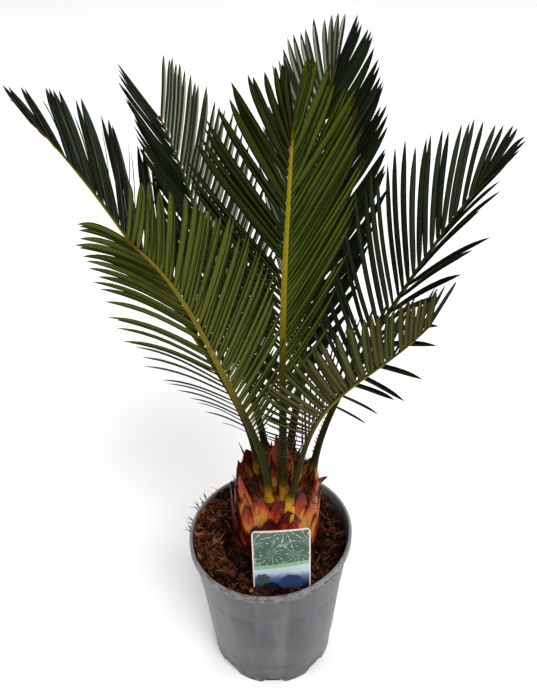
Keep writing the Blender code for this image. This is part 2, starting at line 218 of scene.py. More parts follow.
def frond(name, base, length, azimuth, rise, bend_power, wave, twist, leafless, angle, lift_left,
          lift_right, leaflet, curl, tip_share, family, left, right):
    """One frond's sizes, in mm and degrees.

    base        place on the crown, x and y
    length      of stalk and rib together
    azimuth     heading at the foot, its change to the tip and its sideways bow
    rise        elevation of the rib at foot and tip
    wave        how far the elevation swings above and below that bend
    twist       of the blade about its rib at foot and tip
    leafless    share of the length that is bare stalk
    angle       between rib and leaflets at the first and the last leaflet
    lift_left, lift_right   of each row out of the frond's plane at its first and last leaflet
    leaflet     length of the longest leaflet
    curl        of the leaflets forwards and downwards, as shares of their length
    tip_share   length of the last leaflets as a share of the longest
    family      name of its stalk's and rib's set of colours
    left, right its two rows
    """
    return SimpleNamespace(
        name=name, base=(base[0] * MM, base[1] * MM), length=length * MM,
        azimuth=azimuth, rise=rise, bend_power=bend_power, wave=wave, twist=twist, leafless=leafless,
        angle=angle, lift_left=lift_left, lift_right=lift_right, leaflet=leaflet * MM, curl=curl,
        tip_share=tip_share, family=family, left=left, right=right,
    )


FRONDS = (
    frond("front", (11, -25), 356, (271, 4, 2), (88, 73), 1.3, 6, (2, 1), 0.25, (69, 26),
          (48, 31), (44, 31), 98, (0.28, 0.06), 0.36, "olive",
          row(44, 6.2, (12, 4), 0.8, 0.02, fan=9, stretch=1.03, family="olive"),
          # This row takes the painted shade colours
          row(40, 6.6, (-4, -10), 0.7, 0.04, family="dusk")),
    frond("front_left", (-0.5, -27), 326, (227, 5, 3), (87, 49), 1.05, -6.5, (21, 30), 0.25, (67, 30),
          (55, 53), (12, 17), 78, (0.28, 0.16), 0.40, "moss",
          row(46, 4.9, (4, 4), 0.3, 0.02, family="moss", close=1.7),
          row(31, 3.9, (-40, 62), 0.3, 0.04, (0.0, 0.6), stretch=0.95, family="moss")),
    frond("front_right", (15.5, -33), 228, (337, 22, -12), (79, 55), 0.6, 10, (0, -15), 0.23, (70, 42),
          (36, 15), (43, 64), 65, (0.12, 0.0), 0.46, "tan",
          row(30, 4.0, (5, 5), 0.5, 0.05, stretch=1.12, family="tan", close=0.6),
          row(40, 4.4, (-62, 8), 0.3, 0.03, family="tan", close=0.8, ease=3)),
    frond("left", (-10.5, 1.7), 342, (165, -8, 5), (94, 43.5), 0.62, -5.8, (13, 8), 0.27, (60, 20),
          (45, 25), (19, 19), 103, (0.38, 0.18), 0.34, "olive",
          row(26, 2.0, (75, 75), 0.3, 0.05, (0.35, 0.7), lift=(100, 94), unruly=1.6, stretch=0.75),
          row(30, 7.2, (5, 5), 0.88, 0.04)),
    frond("back_left", (-1.5, 16.5), 305, (131, 1, 1), (78, 55), 1.25, -4, (5, 0), 0.24, (50, 26),
          (43, 18), (33, 21), 96, (0.40, 0.06), 0.52, "deep",
          row(37, 4.2, (5, 5), 0.5, 0.05, close=1.0),
          # This row's upper sides take a painted sheen
          row(38, 4.8, (12, 12), 0.3, 0.03, family="sheen", close=1.1)),
    frond("back", (16, 14), 337, (62, -2, 18), (74, 50), 1.75, -13, (11, 6), 0.23, (44, 30),
          (50, 25), (34, 22), 106, (0.48, -0.08), 0.38, "deep",
          # This row's upper sides take a painted sheen
          row(40, 5.6, (10, 10), 0.3, 0.03, family="sheen"),
          row(44, 5.8, (5, 5), 0.65, 0.02)),
    frond("right", (37, -2.5), 300, (22, -1, -11.5), (90, 50), 0.6, -3, (8, 5), 0.24, (65, 22),
          (42, 26), (10, 22), 106, (0.28, 0.30), 0.30, "deep",
          # This row's upper sides take a faint painted sheen
          row(31, 4.9, (10, 10), 0.25, 0.0, (0.42, 0.0), family="mid"),
          row(19, 4.2, (15, 15), 0.5, 0.0, (0.28, 0.45), lift=(4, 48), unruly=2.2)),
)

# Leaflet colours: plain shades of each family above and below, then midrib and margin below, and dry tips.
# The lighter midrib is partly its own paler colour and partly a painted highlight on the raised rib; the
# near-black margin is painted shade on the rolled margins, and edges the upper side as well.
DARK_BELOW = ("#1e280e", "#232e11", "#19210b", "#2a3417")
FAMILIES = {
    "olive": (("#27340f", "#2d3a13", "#222d0d", "#343f18"), ("#32400b", "#3a470d", "#2c3809", "#424d0f"),
              "#525c16", "#151b04", "#33260c"),
    # Painted shade: a darker copy of the olive shades, for the front frond's row that faces away from the light
    "dusk": (("#1a240a", "#1f2a0d", "#161f08", "#262f10"), ("#1f2a07", "#252f08", "#1a2306", "#2f370c"),
             "#3c4410", "#0f1403", "#2a200a"),
    "moss": (("#1d260e", "#232c12", "#18200b", "#292f16"), ("#3b4411", "#434b15", "#343c0e", "#4a521b"),
             "#5e6228", "#191d06", "#54492c"),
    "tan": (("#2a3216", "#31391b", "#252c13", "#383c20"), ("#3b4119", "#363d16", "#43461d", "#3f3c1b"),
            "#5b5c30", "#1a190b", "#3c2a18"),
    "deep": (("#0c1505", "#111b07", "#091104", "#172109"), DARK_BELOW, "#38421b", "#0d1305", "#1c140a"),
    # Painted sheen: a lighter copy of the deep shades above, for upper sides that catch the light
    "mid": (("#1c2412", "#232b18", "#171f0e", "#2a3220"), DARK_BELOW, "#38421b", "#0d1305", "#1c140a"),
    # Painted sheen: pale grey greens stand in for light off glossy upper sides; its margin is painted shade
    "sheen": (("#7c816c", "#8a8f7a", "#6d725c", "#9a9f8b"), DARK_BELOW, "#38421b", "#232a1a", "#2a2418"),
}

# Stalk colours of each family: bare stalk, rib above and rib beneath
STALKS = {
    "olive": ("#141003", "#46480b", "#7f750b"),
    "moss": ("#1e2006", "#2e300a", "#4a4109"),
    "tan": ("#221b07", "#2f2f0d", "#43400f"),
    "deep": ("#120c04", "#32360a", "#42400b"),
}


def dice(number):
    """A seeded source of random numbers, one for each use."""
    return np.random.default_rng([59, number])


def smoothstep(value, low, high):
    share = np.clip((value - low) / (high - low), 0, 1)
    return share * share * (3 - 2 * share)


def unit(vectors):
    return vectors / np.linalg.norm(vectors, axis=-1, keepdims=True)


def turns_of(sides):
    return np.arange(sides) * 2 * pi / sides


def outwards_at(turn):
    """Level directions away from an upright axis."""
    return np.stack(np.broadcast_arrays(np.cos(turn), np.sin(turn), 0.0), -1)


def circles(first, second, sides):
    """Unit circles in the planes of two sets of directions, with an axis for the sides before the last."""
    turns = turns_of(sides)[:, None]
    return first[..., None, :] * np.cos(turns) + second[..., None, :] * np.sin(turns)


def rough(points, size, seed=0.0, octaves=3):
    """Smooth uneven values from about -1 to 1, in lumps of this size, one for each point."""
    shift = Vector((seed, 1.7 * seed, -seed))
    return np.array([noise.fractal(Vector(p) / size + shift, 1, 2, octaves) for p in points])


def rgb(code):
    """Linear red, green and blue of a written colour such as #7a8a3c."""
    values = [int(code[k:k + 2], 16) / 255 for k in (1, 3, 5)]
    return [v / 12.92 if v <= 0.04045 else ((v + 0.055) / 1.055) ** 2.4 for v in values]


class Field:
    """What a node gives over the surface, to reckon with as with a number."""

    def __init__(self, look, socket):
        self.look = look
        self.socket = socket

    def __add__(self, other):
        return self.look.math("ADD", self, other)

    def __sub__(self, other):
        return self.look.math("SUBTRACT", self, other)

    def __mul__(self, other):
        return self.look.math("MULTIPLY", self, other)


class Look:
    """A material: one Principled shader and the nodes that feed it."""

    def __init__(self, name, colour, roughness, specular=0.5):
        self.material = bpy.data.materials.new(name)
        self.material.use_nodes = True
        self.tree = self.material.node_tree
        self.shader = self.tree.nodes["Principled BSDF"]
        self.set("Base Color", colour)
        self.set("Roughness", roughness)
        self.set("Specular IOR Level", specular)
        self.material.diffuse_color = self.shader.inputs["Base Color"].default_value

    def set(self, socket, value):
        self.feed(self.shader.inputs[socket], value)

    def feed(self, socket, value):
        if isinstance(value, Field):
            self.tree.links.new(value.socket, socket)
        elif isinstance(value, str):
            socket.default_value = (*rgb(value), 1)
        else:
            socket.default_value = value

    def node(self, kind, inputs, output=0, **settings):
        made = self.tree.nodes.new(kind)
        for setting, value in settings.items():
            setattr(made, setting, value)
        for socket, value in inputs.items():
            self.feed(made.inputs[socket], value)
        return Field(self, made.outputs[output])

    def place(self, stretch=None):
        """Coordinates in metres, or stretched along an axis by a factor for each."""
        spot = self.node("ShaderNodeTexCoord", {}, "Object")
        if stretch is None:
            return spot
        return self.node("ShaderNodeVectorMath", {0: spot, 1: stretch}, operation="MULTIPLY")

    def axis(self, letter):
        return self.node("ShaderNodeSeparateXYZ", {0: self.place()}, letter)

    def noise(self, size, detail=3, roughness=0.55, stretch=None):
        """Uneven values from 0 to 1 in spots of this size in metres."""
        inputs = {"Vector": self.place(stretch), "Scale": 1 / size, "Detail": detail, "Roughness": roughness}
        return self.node("ShaderNodeTexNoise", inputs)

    def cells(self, size):
        return self.node("ShaderNodeTexVoronoi", {"Vector": self.place(), "Scale": 1 / size}, "Distance")

    def value(self, name):
        """A number that the mesh holds for each point."""
        return self.node("ShaderNodeAttribute", {}, "Fac", attribute_name=name)

    def math(self, operation, *values, clamp=False):
        return self.node("ShaderNodeMath", dict(enumerate(values)), operation=operation, use_clamp=clamp)

    def between(self, value, low, high, out_low=0.0, out_high=1.0):
        inputs = {"Value": value, "From Min": low, "From Max": high, "To Min": out_low, "To Max": out_high}
        return self.node("ShaderNodeMapRange", inputs, interpolation_type="SMOOTHSTEP")

    def mix(self, share, first, second):
        return self.node("ShaderNodeMix", {0: share, 6: first, 7: second}, 2, data_type="RGBA")

    def ramp(self, value, *stops):
        made = self.tree.nodes.new("ShaderNodeValToRGB")
        self.feed(made.inputs[0], value)
        points = made.color_ramp.elements
        while len(points) < len(stops):
            points.new(0.5)
        for point, (position, colour) in zip(points, stops):
            point.position = position
            point.color = (*rgb(colour), 1)
        return Field(self, made.outputs[0])

    def bump(self, height, distance, strength=1.0):
        inputs = {"Height": height, "Distance": distance, "Strength": strength}
        self.set("Normal", self.node("ShaderNodeBump", inputs))


def plain_look(name, colour, roughness, specular, grain, strength, depth=0.1, detail=2, gloss=None):
    """One plain colour with a fine bump. grain is the size of its spots and depth their height, in mm.

    gloss, where its roughness varies, holds the size of the spots in mm, and its least and most.
    """
    look = Look(name, colour, roughness, specular)
    if gloss:
        spots, least, most = gloss
        look.set("Roughness", look.between(look.noise(spots * MM), 0.3, 0.7, least, most))
    look.bump(look.noise(grain * MM, detail), depth * MM, strength)
    return look


def put(name, data):
    """An object in the scene."""
    obj = bpy.data.objects.new(name, data)
    bpy.context.scene.collection.objects.link(obj)
    return obj


class Pile:
    """Closed shapes gathered into one mesh, each face with its material's number."""

    def __init__(self):
        self.points = []
        self.faces = []
        self.slots = []
        self.values = {}
        self.size = 0

    def add(self, points, faces, slot=0, **values):
        """One shape: its points, its faces by point number and its material's number."""
        points = np.asarray(points, float).reshape(-1, 3)
        self.faces += [tuple(self.size + corner for corner in face) for face in faces]
        self.slots += [slot] * len(faces)
        self._keep(points, values)

    def add_tubes(self, rings, first, last, slots=0, **values):
        """Many closed tubes: rings[tube, ring, side, axis], and the points that close each one's ends.

        slots is one number, or one for each tube, band of faces and side, the two ends' bands included.
        values hold one number for each tube, ring and side; the ends take their ring's mean.
        """
        tubes, count, sides = rings.shape[:3]
        k = np.arange(sides)
        after = (k + 1) % sides
        end = count * sides + 1
        low = 1 + np.arange(count - 1)[:, None] * sides
        quads = np.stack([low + k, low + after, low + sides + after, low + sides + k], -1)
        closing = np.stack([np.zeros_like(k), 1 + after, 1 + k], -1)
        top = end - sides
        opening = np.stack([np.full_like(k, end), top + k, top + after], -1)
        offsets = self.size + (end + 1) * np.arange(tubes)
        slots = np.broadcast_to(slots, (tubes, count + 1, sides))
        for faces, bands in ((closing, slots[:, :1]), (quads, slots[:, 1:-1]), (opening, slots[:, -1:])):
            corners = faces.reshape(-1, faces.shape[-1])
            self.faces += (offsets[:, None, None] + corners).reshape(-1, faces.shape[-1]).tolist()
            self.slots += bands.reshape(-1).tolist()
        flat = rings.reshape(tubes, -1, 3)
        points = np.concatenate([first[:, None], flat, last[:, None]], 1)
        spread = {}
        for name, numbers in values.items():
            numbers = np.broadcast_to(numbers, (tubes, count, sides))
            ends = numbers[:, (0, -1)].mean(2)
            whole = [ends[:, :1], numbers.reshape(tubes, -1), ends[:, 1:]]
            spread[name] = np.concatenate(whole, 1).reshape(-1)
        self._keep(points.reshape(-1, 3), spread)

    def _keep(self, points, values):
        for name, numbers in values.items():
            self.values.setdefault(name, []).append(np.broadcast_to(numbers, len(points)))
        self.points.append(points)
        self.size += len(points)

    def build(self, name, looks, sharp=None):
        """Makes the object. Edges sharper than the given angle stay sharp."""
        mesh = bpy.data.meshes.new(name)
        mesh.from_pydata(np.concatenate(self.points).tolist(), [], self.faces)
        for look in looks:
            mesh.materials.append(look.material)
        mesh.polygons.foreach_set("material_index", np.array(self.slots, np.int32))
        for value, parts in self.values.items():
            numbers = np.concatenate(parts).astype(np.float32)
            mesh.attributes.new(value, "FLOAT", "POINT").data.foreach_set("value", numbers)
        mesh.shade_smooth()
        if sharp:
            mesh.set_sharp_from_angle(angle=radians(sharp))
        return put(name, mesh)


def keep(piece, slot, *nodes):
    """Attaches a finished piece to what it rides on and hides the nodes it stands for; slot is not used."""
    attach(piece, "root")
    if nodes:
        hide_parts(*nodes)


# Fronds


def spine(leaf):
    """Shares of the frond's length with the rib's points, headings, left sides and upper sides there."""
    share = np.linspace(0, 1, SPINE_STEPS + 1)
    rise = leaf.rise[0] + (leaf.rise[1] - leaf.rise[0]) * share ** leaf.bend_power
    rise = np.radians(rise + leaf.wave * np.sin(2 * pi * share))
    start, change, bow = leaf.azimuth
    azimuth = np.radians(start + change * share + bow * np.sin(pi * share))
    heading = np.stack([np.cos(rise) * np.cos(azimuth), np.cos(rise) * np.sin(azimuth), np.sin(rise)], 1)
    steps = (heading[1:] + heading[:-1]) / 2 * leaf.length / SPINE_STEPS
    foot = np.array([*leaf.base, TRUNK_TOP.z])
    points = np.vstack([foot, foot + np.cumsum(steps, axis=0)])
    flat = np.stack([-np.sin(azimuth), np.cos(azimuth), np.zeros_like(share)], 1)
    above = np.cross(heading, flat)
    twist = np.radians(leaf.twist[0] + (leaf.twist[1] - leaf.twist[0]) * share)[:, None]
    left = flat * np.cos(twist) + above * np.sin(twist)
    upper = above * np.cos(twist) - flat * np.sin(twist)
    return share, points, heading, left, upper


def at(shares, share, values):
    return np.stack([np.interp(shares, share, values[:, axis]) for axis in range(3)], 1)


def rib_radius(leaf, share):
    """Half the thickness of the stalk and rib."""
    bare = STALK_RADIUS + (RIB_START_RADIUS - STALK_RADIUS) * np.clip(share / leaf.leafless, 0, 1)
    bare = bare + (STALK_BASE_RADIUS - STALK_RADIUS) * np.clip(1 - share / leaf.leafless, 0, 1) ** 6
    late = np.clip((share - leaf.leafless) / (1 - leaf.leafless), 0, 1)
    return bare + (RIB_END_RADIUS - RIB_START_RADIUS) * late ** 1.1


def gathered(count, fan, chance):
    """Middle of the group that each leaflet of a row leans towards, by its place in the row."""
    sizes = []
    while sum(sizes) < count - fan:
        sizes.append(min(int(chance.integers(1, 5)), count - fan - sum(sizes)))
    sizes.append(fan)
    middles = []
    for size in sizes:
        middles += [len(middles) + (size - 1) / 2] * size
    return np.array(middles[:count])


def leaflet_row(leaf, side, row_of, chance):
    """Middle lines of one row's leaflets, with their widths' and faces' directions and their half widths.

    side is 1 for the left row and -1 for the right one.
    """
    share, points, heading, left, upper = spine(leaf)
    count = row_of.count
    number = np.arange(count)
    places = (number + 0.5 + chance.uniform(-0.2, 0.2, count)) / count
    shares = leaf.leafless + (1 - leaf.leafless) * places
    foot, along, out, up = (at(shares, share, v) for v in (points, heading, left * side, upper))
    lifts = row_of.lift or (leaf.lift_left if side > 0 else leaf.lift_right)
    grow = BASE_SHARE + (1 - BASE_SHARE) * np.clip(places / FULL_FROM, 0, 1) ** GROW_POWER
    late = np.clip((places - TAPER_FROM) / (1 - TAPER_FROM), 0, 1)
    fade = 1 - (1 - leaf.tip_share) * late ** FADE_POWER
    length = leaf.leaflet * row_of.stretch * grow * fade * chance.uniform(0.94, 1.03, count)
    angle = leaf.angle[0] + (leaf.angle[1] - leaf.angle[0]) * places
    angle = angle * (1 - (1 - row_of.close) * smoothstep(places, CLOSE_FROM, 1))
    lean = (number - gathered(count, row_of.fan, chance)) * leaf.length * (1 - leaf.leafless) / count
    lean = np.degrees(row_of.bunch * lean * np.sin(np.radians(angle)) / length)
    angle = angle + lean + chance.normal(0, 1.2 * row_of.unruly, count)
    lift = lifts[0] + (lifts[1] - lifts[0]) * places + chance.normal(0, 2.0 * row_of.unruly, count)
    angle, lift = np.radians(angle)[:, None], np.radians(lift)[:, None]
    start = np.cos(angle) * along + np.sin(angle) * (np.cos(lift) * out + np.sin(lift) * up)
    forwards, downwards = row_of.curl or leaf.curl
    radius = rib_radius(leaf, shares)[:, None]
    lines = [foot + out * radius * 0.55 + up * radius * 0.3]
    ways = [unit(start)]
    for step in range(LINE_STEPS):
        bend = ((step + 0.5) / LINE_STEPS) ** 2
        way = unit(start + bend * (forwards * along - downwards * np.array([0, 0, 1])))
        lines.append(lines[-1] + way * length[:, None] / LINE_STEPS)
        ways.append(way)
    lines, ways = np.stack(lines, 1), np.stack(ways, 1)
    along = along[:, None]
    width = unit(along - ways * (along * ways).sum(-1, keepdims=True))
    face = side * np.cross(width, ways)
    first, last = row_of.roll
    roll = last + (first - last) * (1 - places) ** row_of.ease + chance.normal(0, 7, count)
    roll = np.radians(roll)[:, None, None]
    width, face = width * np.cos(roll) + face * np.sin(roll), face * np.cos(roll) - width * np.sin(roll)
    # Narrower in the first and last leaflets of a row
    half = row_of.width / 2 * (0.72 + 0.28 * np.sin(pi * np.clip(places * 0.9 + 0.12, 0, 1)) ** 0.6)
    half = half * (0.6 + 0.4 * smoothstep(places, 0, 0.16))
    there = chance.random(count) >= row_of.gaps
    return lines[there], width[there], face[there], half[there]


def add_leaflets(pile, leaf, side, row_of, chance, slot):
    """One row of leaflets. Its shades above start at this slot, then come those below and the details."""
    lines, width, face, half = leaflet_row(leaf, side, row_of, chance)
    count = len(lines)
    shades = len(FAMILIES[row_of.family][0])
    midrib, margin, dry_tip = 2 * shades, 2 * shades + 1, 2 * shades + 2
    section = np.array(LEAFLET_UPPER + LEAFLET_UNDER)
    rings = list(LEAFLET_RINGS)
    size = half[:, None, None] * np.array(LEAFLET_WIDTHS)[None, :, None]
    across = size * section[None, None, :, 0]
    height = size * section[None, None, :, 1]
    points = lines[:, rings][:, :, None] + width[:, rings][:, :, None] * across[..., None]
    points = points + face[:, rings][:, :, None] * height[..., None]
    shade = chance.integers(0, shades, count)[:, None, None]
    bands = np.empty((count, len(rings) + 1, len(section)), int)
    bands[:] = shade
    bands[..., UNDER_FACES] = shade + shades
    # Midrib: partly its own paler colour, partly painted highlight; margins: painted shade
    bands[..., MIDRIB_FACES] = midrib
    bands[..., MARGIN_FACES] = margin
    # Half of the upper side of a leaflet with a painted sheen is painted in shade
    if row_of.family == "sheen":
        bands[..., SHADED_FACES] = margin
    bands[chance.random(count) < DRY_SHARE, -2:] = dry_tip
    if side < 0:
        # Mirrored, so the other way round to keep the faces outwards
        points = points[:, :, ::-1]
        bands = np.roll(bands[:, :, ::-1], -1, 2)
    pile.add_tubes(points, lines[:, 0], lines[:, -1], slot + bands)


def build_leaflets(leaf, number, looks):
    pile = Pile()
    chance = dice(10 + number)
    used = []
    for side, row_of in ((1, leaf.left), (-1, leaf.right)):
        add_leaflets(pile, leaf, side, row_of, chance, len(used))
        used += looks[row_of.family]
    piece = pile.build(leaf.name + "_frond_leaflets", used, sharp=55)
    keep(piece, "leaflets", leaf.name + "_frond_blade")


def leaf_looks(family):
    """Plain shades, each with its own slight unevenness of gloss and surface."""
    above, below, *rest = FAMILIES[family]
    looks = [plain_look(f"{family} leaflet above {k}", colour, 0.34, 0.09, 1.2, 0.5, gloss=(4, 0.26, 0.42))
             for k, colour in enumerate(above)]
    looks += [plain_look(f"{family} leaflet below {k}", colour, 0.6, 0.05, 0.9, 0.6, gloss=(3, 0.52, 0.7))
              for k, colour in enumerate(below)]
    # The midrib colour is partly a painted highlight, the margin colour painted shade
    looks += [plain_look(f"{family} {part}", colour, 0.65, 0.05, 0.8, 0.6)
              for part, colour in zip(("midrib", "margin", "dry tip"), rest)]
    return looks


def stalk_look(family):
    """Yellow at the foot, dark olive on the bare stalk, then a rib, yellow beneath and brown at its tip."""
    stalk, above, beneath = STALKS[family]
    look = Look(family + " rib", stalk, 0.5, 0.03)
    along = look.value("along")
    mottle = look.noise(6 * MM, 4)
    lit = look.mix(mottle, stalk, look.mix(0.4, stalk, "#3f3d0e"))
    spread = along + (mottle - 0.5) * 0.05
    foot = look.ramp(spread, (0.0, "#ad7f22"), (0.02, "#8c6614"), (0.045, "#54420d"), (0.08, "#261f08"))
    bare = look.mix(look.between(spread, 0.02, 0.075), foot, lit)
    upper = look.mix(mottle, above, look.mix(0.5, above, "#3d4416"))
    lower = look.mix(mottle, beneath, look.mix(0.5, beneath, "#a8952c"))
    lower = look.mix(look.between(along, 0.28, 0.62), look.mix(mottle, stalk, above), lower)
    rib = look.mix(look.value("under"), upper, lower)
    body = look.mix(look.value("bare"), bare, rib)
    specks = look.between(look.noise(1.5 * MM, 2), 0.62, 0.72)
    body = look.mix(specks * 0.45, body, "#3a280c")
    look.set("Base Color", look.mix(look.between(along, 0.93, 0.985), body, "#55320f"))
    look.set("Roughness", look.between(mottle, 0.3, 0.7, 0.4, 0.56))
    look.bump(look.noise(1.4 * MM, 3, stretch=(1, 1, 0.15)), 0.2 * MM, 0.5)
    return look


def build_stalk(leaf, number, look):
    """A stalk and its rib in one, from a pointed foot among the trunk's scales to the tip, with thorns."""
    share, points, heading, left, upper = spine(leaf)
    shares = np.linspace(0, 1, RIB_RINGS)
    centre, side, up = (at(shares, share, v) for v in (points, left, upper))
    radius = rib_radius(leaf, shares)
    grown = smoothstep(shares, 0, leaf.leafless)
    wide = radius * (1 + 0.12 * grown)
    deep = radius * (1 - 0.08 * grown)

    # The foot follows the trunk's outline, and its rings face outwards from the trunk
    foot = centre[0]
    middle_x, middle_y = trunk_axis(foot[2])
    away = np.array([foot[0] - middle_x, foot[1] - middle_y, 0])
    outwards = unit(away)
    drop, push, width, depth = np.array(STALK_FOOT).T * MM
    room = trunk_radius(foot[2] - drop) - STALK_FOOT_SUNK - np.hypot(away[0], away[1])
    foot_centres = foot + outwards * np.minimum(push, room)[:, None] - drop[:, None] * np.array([0, 0, 1])
    across = unit(np.cross(outwards, np.array([0, 0, 1])))
    if across @ side[0] < 0:
        across = -across
    facing = outwards if outwards @ up[0] > 0 else -outwards
    steps = len(STALK_FOOT)
    side = unit(np.vstack([np.tile(across, (steps, 1)), side]))
    up = unit(np.vstack([np.tile(facing, (steps, 1)), up]))
    centre = np.vstack([foot_centres, centre])
    wide = np.concatenate([width, wide])
    deep = np.concatenate([depth, deep])
    shares = np.concatenate([np.zeros(steps), shares])

    turns = turns_of(RIB_SIDES)
    sideways, upwards = np.cos(turns), np.sin(turns)
    flat_top = np.where(upwards > 0, upwards * 0.78, upwards)
    rings = centre[:, None] + side[:, None] * (wide[:, None] * sideways)[..., None]
    rings = rings + up[:, None] * (deep[:, None] * flat_top)[..., None]
    under = smoothstep(-upwards, -0.35, 0.3)
    bare = smoothstep(shares, leaf.leafless * 0.85, leaf.leafless * 1.3)
    turn_out = 1 if np.cross(side[-1], up[-1]) @ heading[-1] > 0 else -1
    tip = centre[-1:] + (points[-1] - points[-2]) * 0.4
    pile = Pile()
    pile.add_tubes(rings[None, :, ::turn_out], centre[:1], tip, 0, along=shares[:, None],
                   under=under[::turn_out], bare=bare[:, None])
    add_thorns(pile, leaf, number)
    piece = pile.build(leaf.name + "_frond_rib", [look])
    keep(piece, "stalk", leaf.name + "_frond_stalk")


def add_thorns(pile, leaf, number):
    """Short spines down both edges of the stalk, below the first leaflets."""
    chance = dice(40 + number)
    share, points, heading, left, upper = spine(leaf)
    for side in (1, -1):
        shares = leaf.leafless * np.linspace(0.35, 0.98, THORN_COUNT)
        shares = shares + chance.uniform(-0.004, 0.004, THORN_COUNT)
        centre, along, out, up = (at(shares, share, v) for v in (points, heading, left * side, upper))
        radius = rib_radius(leaf, shares)[:, None]
        foot = centre + out * radius * 0.85 + up * radius * 0.35
        way = unit(out + 0.35 * along + 0.3 * up)
        length = (chance.uniform(2.0, 3.4, THORN_COUNT) * MM)[:, None]
        first = unit(np.cross(way, along))
        circle = circles(first, np.cross(way, first), 5) * THORN_RADIUS
        rings = np.stack([(foot - way * 0.8 * MM)[:, None] + circle,
                          (foot + way * length * 0.45)[:, None] + circle * 0.6], 1)
        pile.add_tubes(rings, foot - way * MM, foot + way * length, 0, along=0.1, under=0.0, bare=0.0)


# Pot


def pot_radius(z):
    return POT_FOOT_RADIUS + (POT_NECK_RADIUS - POT_FOOT_RADIUS) * z / NECK_HEIGHT


def in_pot(radius, turn, z):
    """Points of the pot or soil: the pot is pulled oval towards its rim."""
    pull = POT_OVAL * (z / POT_HEIGHT) ** 2 * np.sin(2 * turn)
    radius = radius * (1 + pull * smoothstep(radius, POT_ROUND_UNTIL, POT_FOOT_RADIUS))
    return np.stack(np.broadcast_arrays(radius * np.cos(turn), radius * np.sin(turn), z), -1)


def rounded(corner_r, corner_z, start, steps=4, round_off=LIP_ROUND):
    """A quarter round in the turned profile, about a centre, from an angle in degrees, anticlockwise."""
    angles = [radians(start + 90 * k / steps) for k in range(steps + 1)]
    return [(corner_r + round_off * cos(a), corner_z + round_off * sin(a)) for a in angles]


def build_pot():
    outside = [(0, 0), (POT_FOOT_RADIUS - 20 * MM, 0), (POT_FOOT_RADIUS - 3 * MM, 0)]
    outside += rounded(POT_FOOT_RADIUS - MM, MM, -90, 3, MM)
    # The wall draws in below each step and sets out again at it
    for step in POT_STEP_HEIGHTS:
        outside += [(pot_radius(step - 4 * MM) - POT_STEP * 0.6, step - 4 * MM),
                    (pot_radius(step) - POT_STEP, step - 0.3 * MM),
                    (pot_radius(step), step + 0.3 * MM),
                    (pot_radius(step + 5 * MM), step + 5 * MM)]
    outside += [(pot_radius(z * MM), z * MM) for z in (129, 140, 147)]
    outside += [(POT_NECK_RADIUS, NECK_HEIGHT - 0.4 * MM), (POT_NECK_RADIUS + 0.5 * MM, NECK_HEIGHT)]
    outside += rounded(LIP_RADIUS - 0.8 * MM, NECK_HEIGHT + 0.8 * MM, -90, 3, 0.8 * MM)
    outside += rounded(LIP_RADIUS - LIP_ROUND, POT_HEIGHT - LIP_ROUND, 0)
    inner = LIP_RADIUS - 2 * LIP_ROUND - 0.4 * MM
    outside += rounded(inner + LIP_ROUND, POT_HEIGHT - LIP_ROUND, 90)
    heights = [NECK_HEIGHT - 2 * MM] + [z * MM for z in (140, 132, 113, 90, 60, 33, 12)]
    inside = [(pot_radius(z) - POT_WALL, z) for z in heights]
    inside += [(r, POT_FLOOR) for r in (pot_radius(POT_FLOOR) - POT_WALL - 2 * MM, POT_ROUND_UNTIL, 0)]
    radius, z = np.array(outside + inside).T
    rings = in_pot(radius[1:-1, None], turns_of(POT_SIDES)[None], z[1:-1, None])
    pile = Pile()
    pile.add_tubes(rings[None], np.array([[0, 0, z[0]]]), np.array([[0, 0, z[-1]]]))
    pot = pile.build("pot_shell", [pot_look()], sharp=50)
    cutter = notch_cutter()
    pot.modifiers.new("notches", "BOOLEAN").object = cutter
    graph = bpy.context.evaluated_depsgraph_get()
    cut = bpy.data.meshes.new_from_object(pot.evaluated_get(graph))
    pot.modifiers.clear()
    pot.data = cut
    bpy.data.objects.remove(cutter)
    keep(pot, "pot_plastic", "pot")


def notch_cutter():
    """Wedges, one for each drainage notch round the foot."""
    inner = POT_FOOT_RADIUS - NOTCH_DEPTH
    outer = POT_FOOT_RADIUS + 4 * MM
    below = -3 * MM
    low_half = (NOTCH_WIDTH_LOW + (NOTCH_WIDTH_LOW - NOTCH_WIDTH_HIGH) / NOTCH_HEIGHT * -below) / 2
    wide_half = NOTCH_WIDTH_HIGH / 2 + NOTCH_ROUND * 0.5
    top_half = NOTCH_WIDTH_HIGH / 2 - NOTCH_ROUND * 0.75
    shoulder = NOTCH_HEIGHT - NOTCH_ROUND
    section = [(-low_half, below), (low_half, below), (wide_half, shoulder), (top_half, NOTCH_HEIGHT),
               (-top_half, NOTCH_HEIGHT), (-wide_half, shoulder)]
    corners = len(section)
    pile = Pile()
    for k in range(NOTCH_COUNT):
        turn = Matrix.Rotation(2 * pi * k / NOTCH_COUNT, 3, "Z")
        points = [turn @ Vector((across, -reach, z)) for reach in (outer, inner) for across, z in section]
        faces = [list(range(corners)), list(range(2 * corners - 1, corners - 1, -1))]
        faces += [[(c + 1) % corners, c, corners + c, corners + (c + 1) % corners] for c in range(corners)]
        pile.add(points, faces)
    return pile.build("notch_cutter", [Look("cut edge", "#808080", 0.5)])


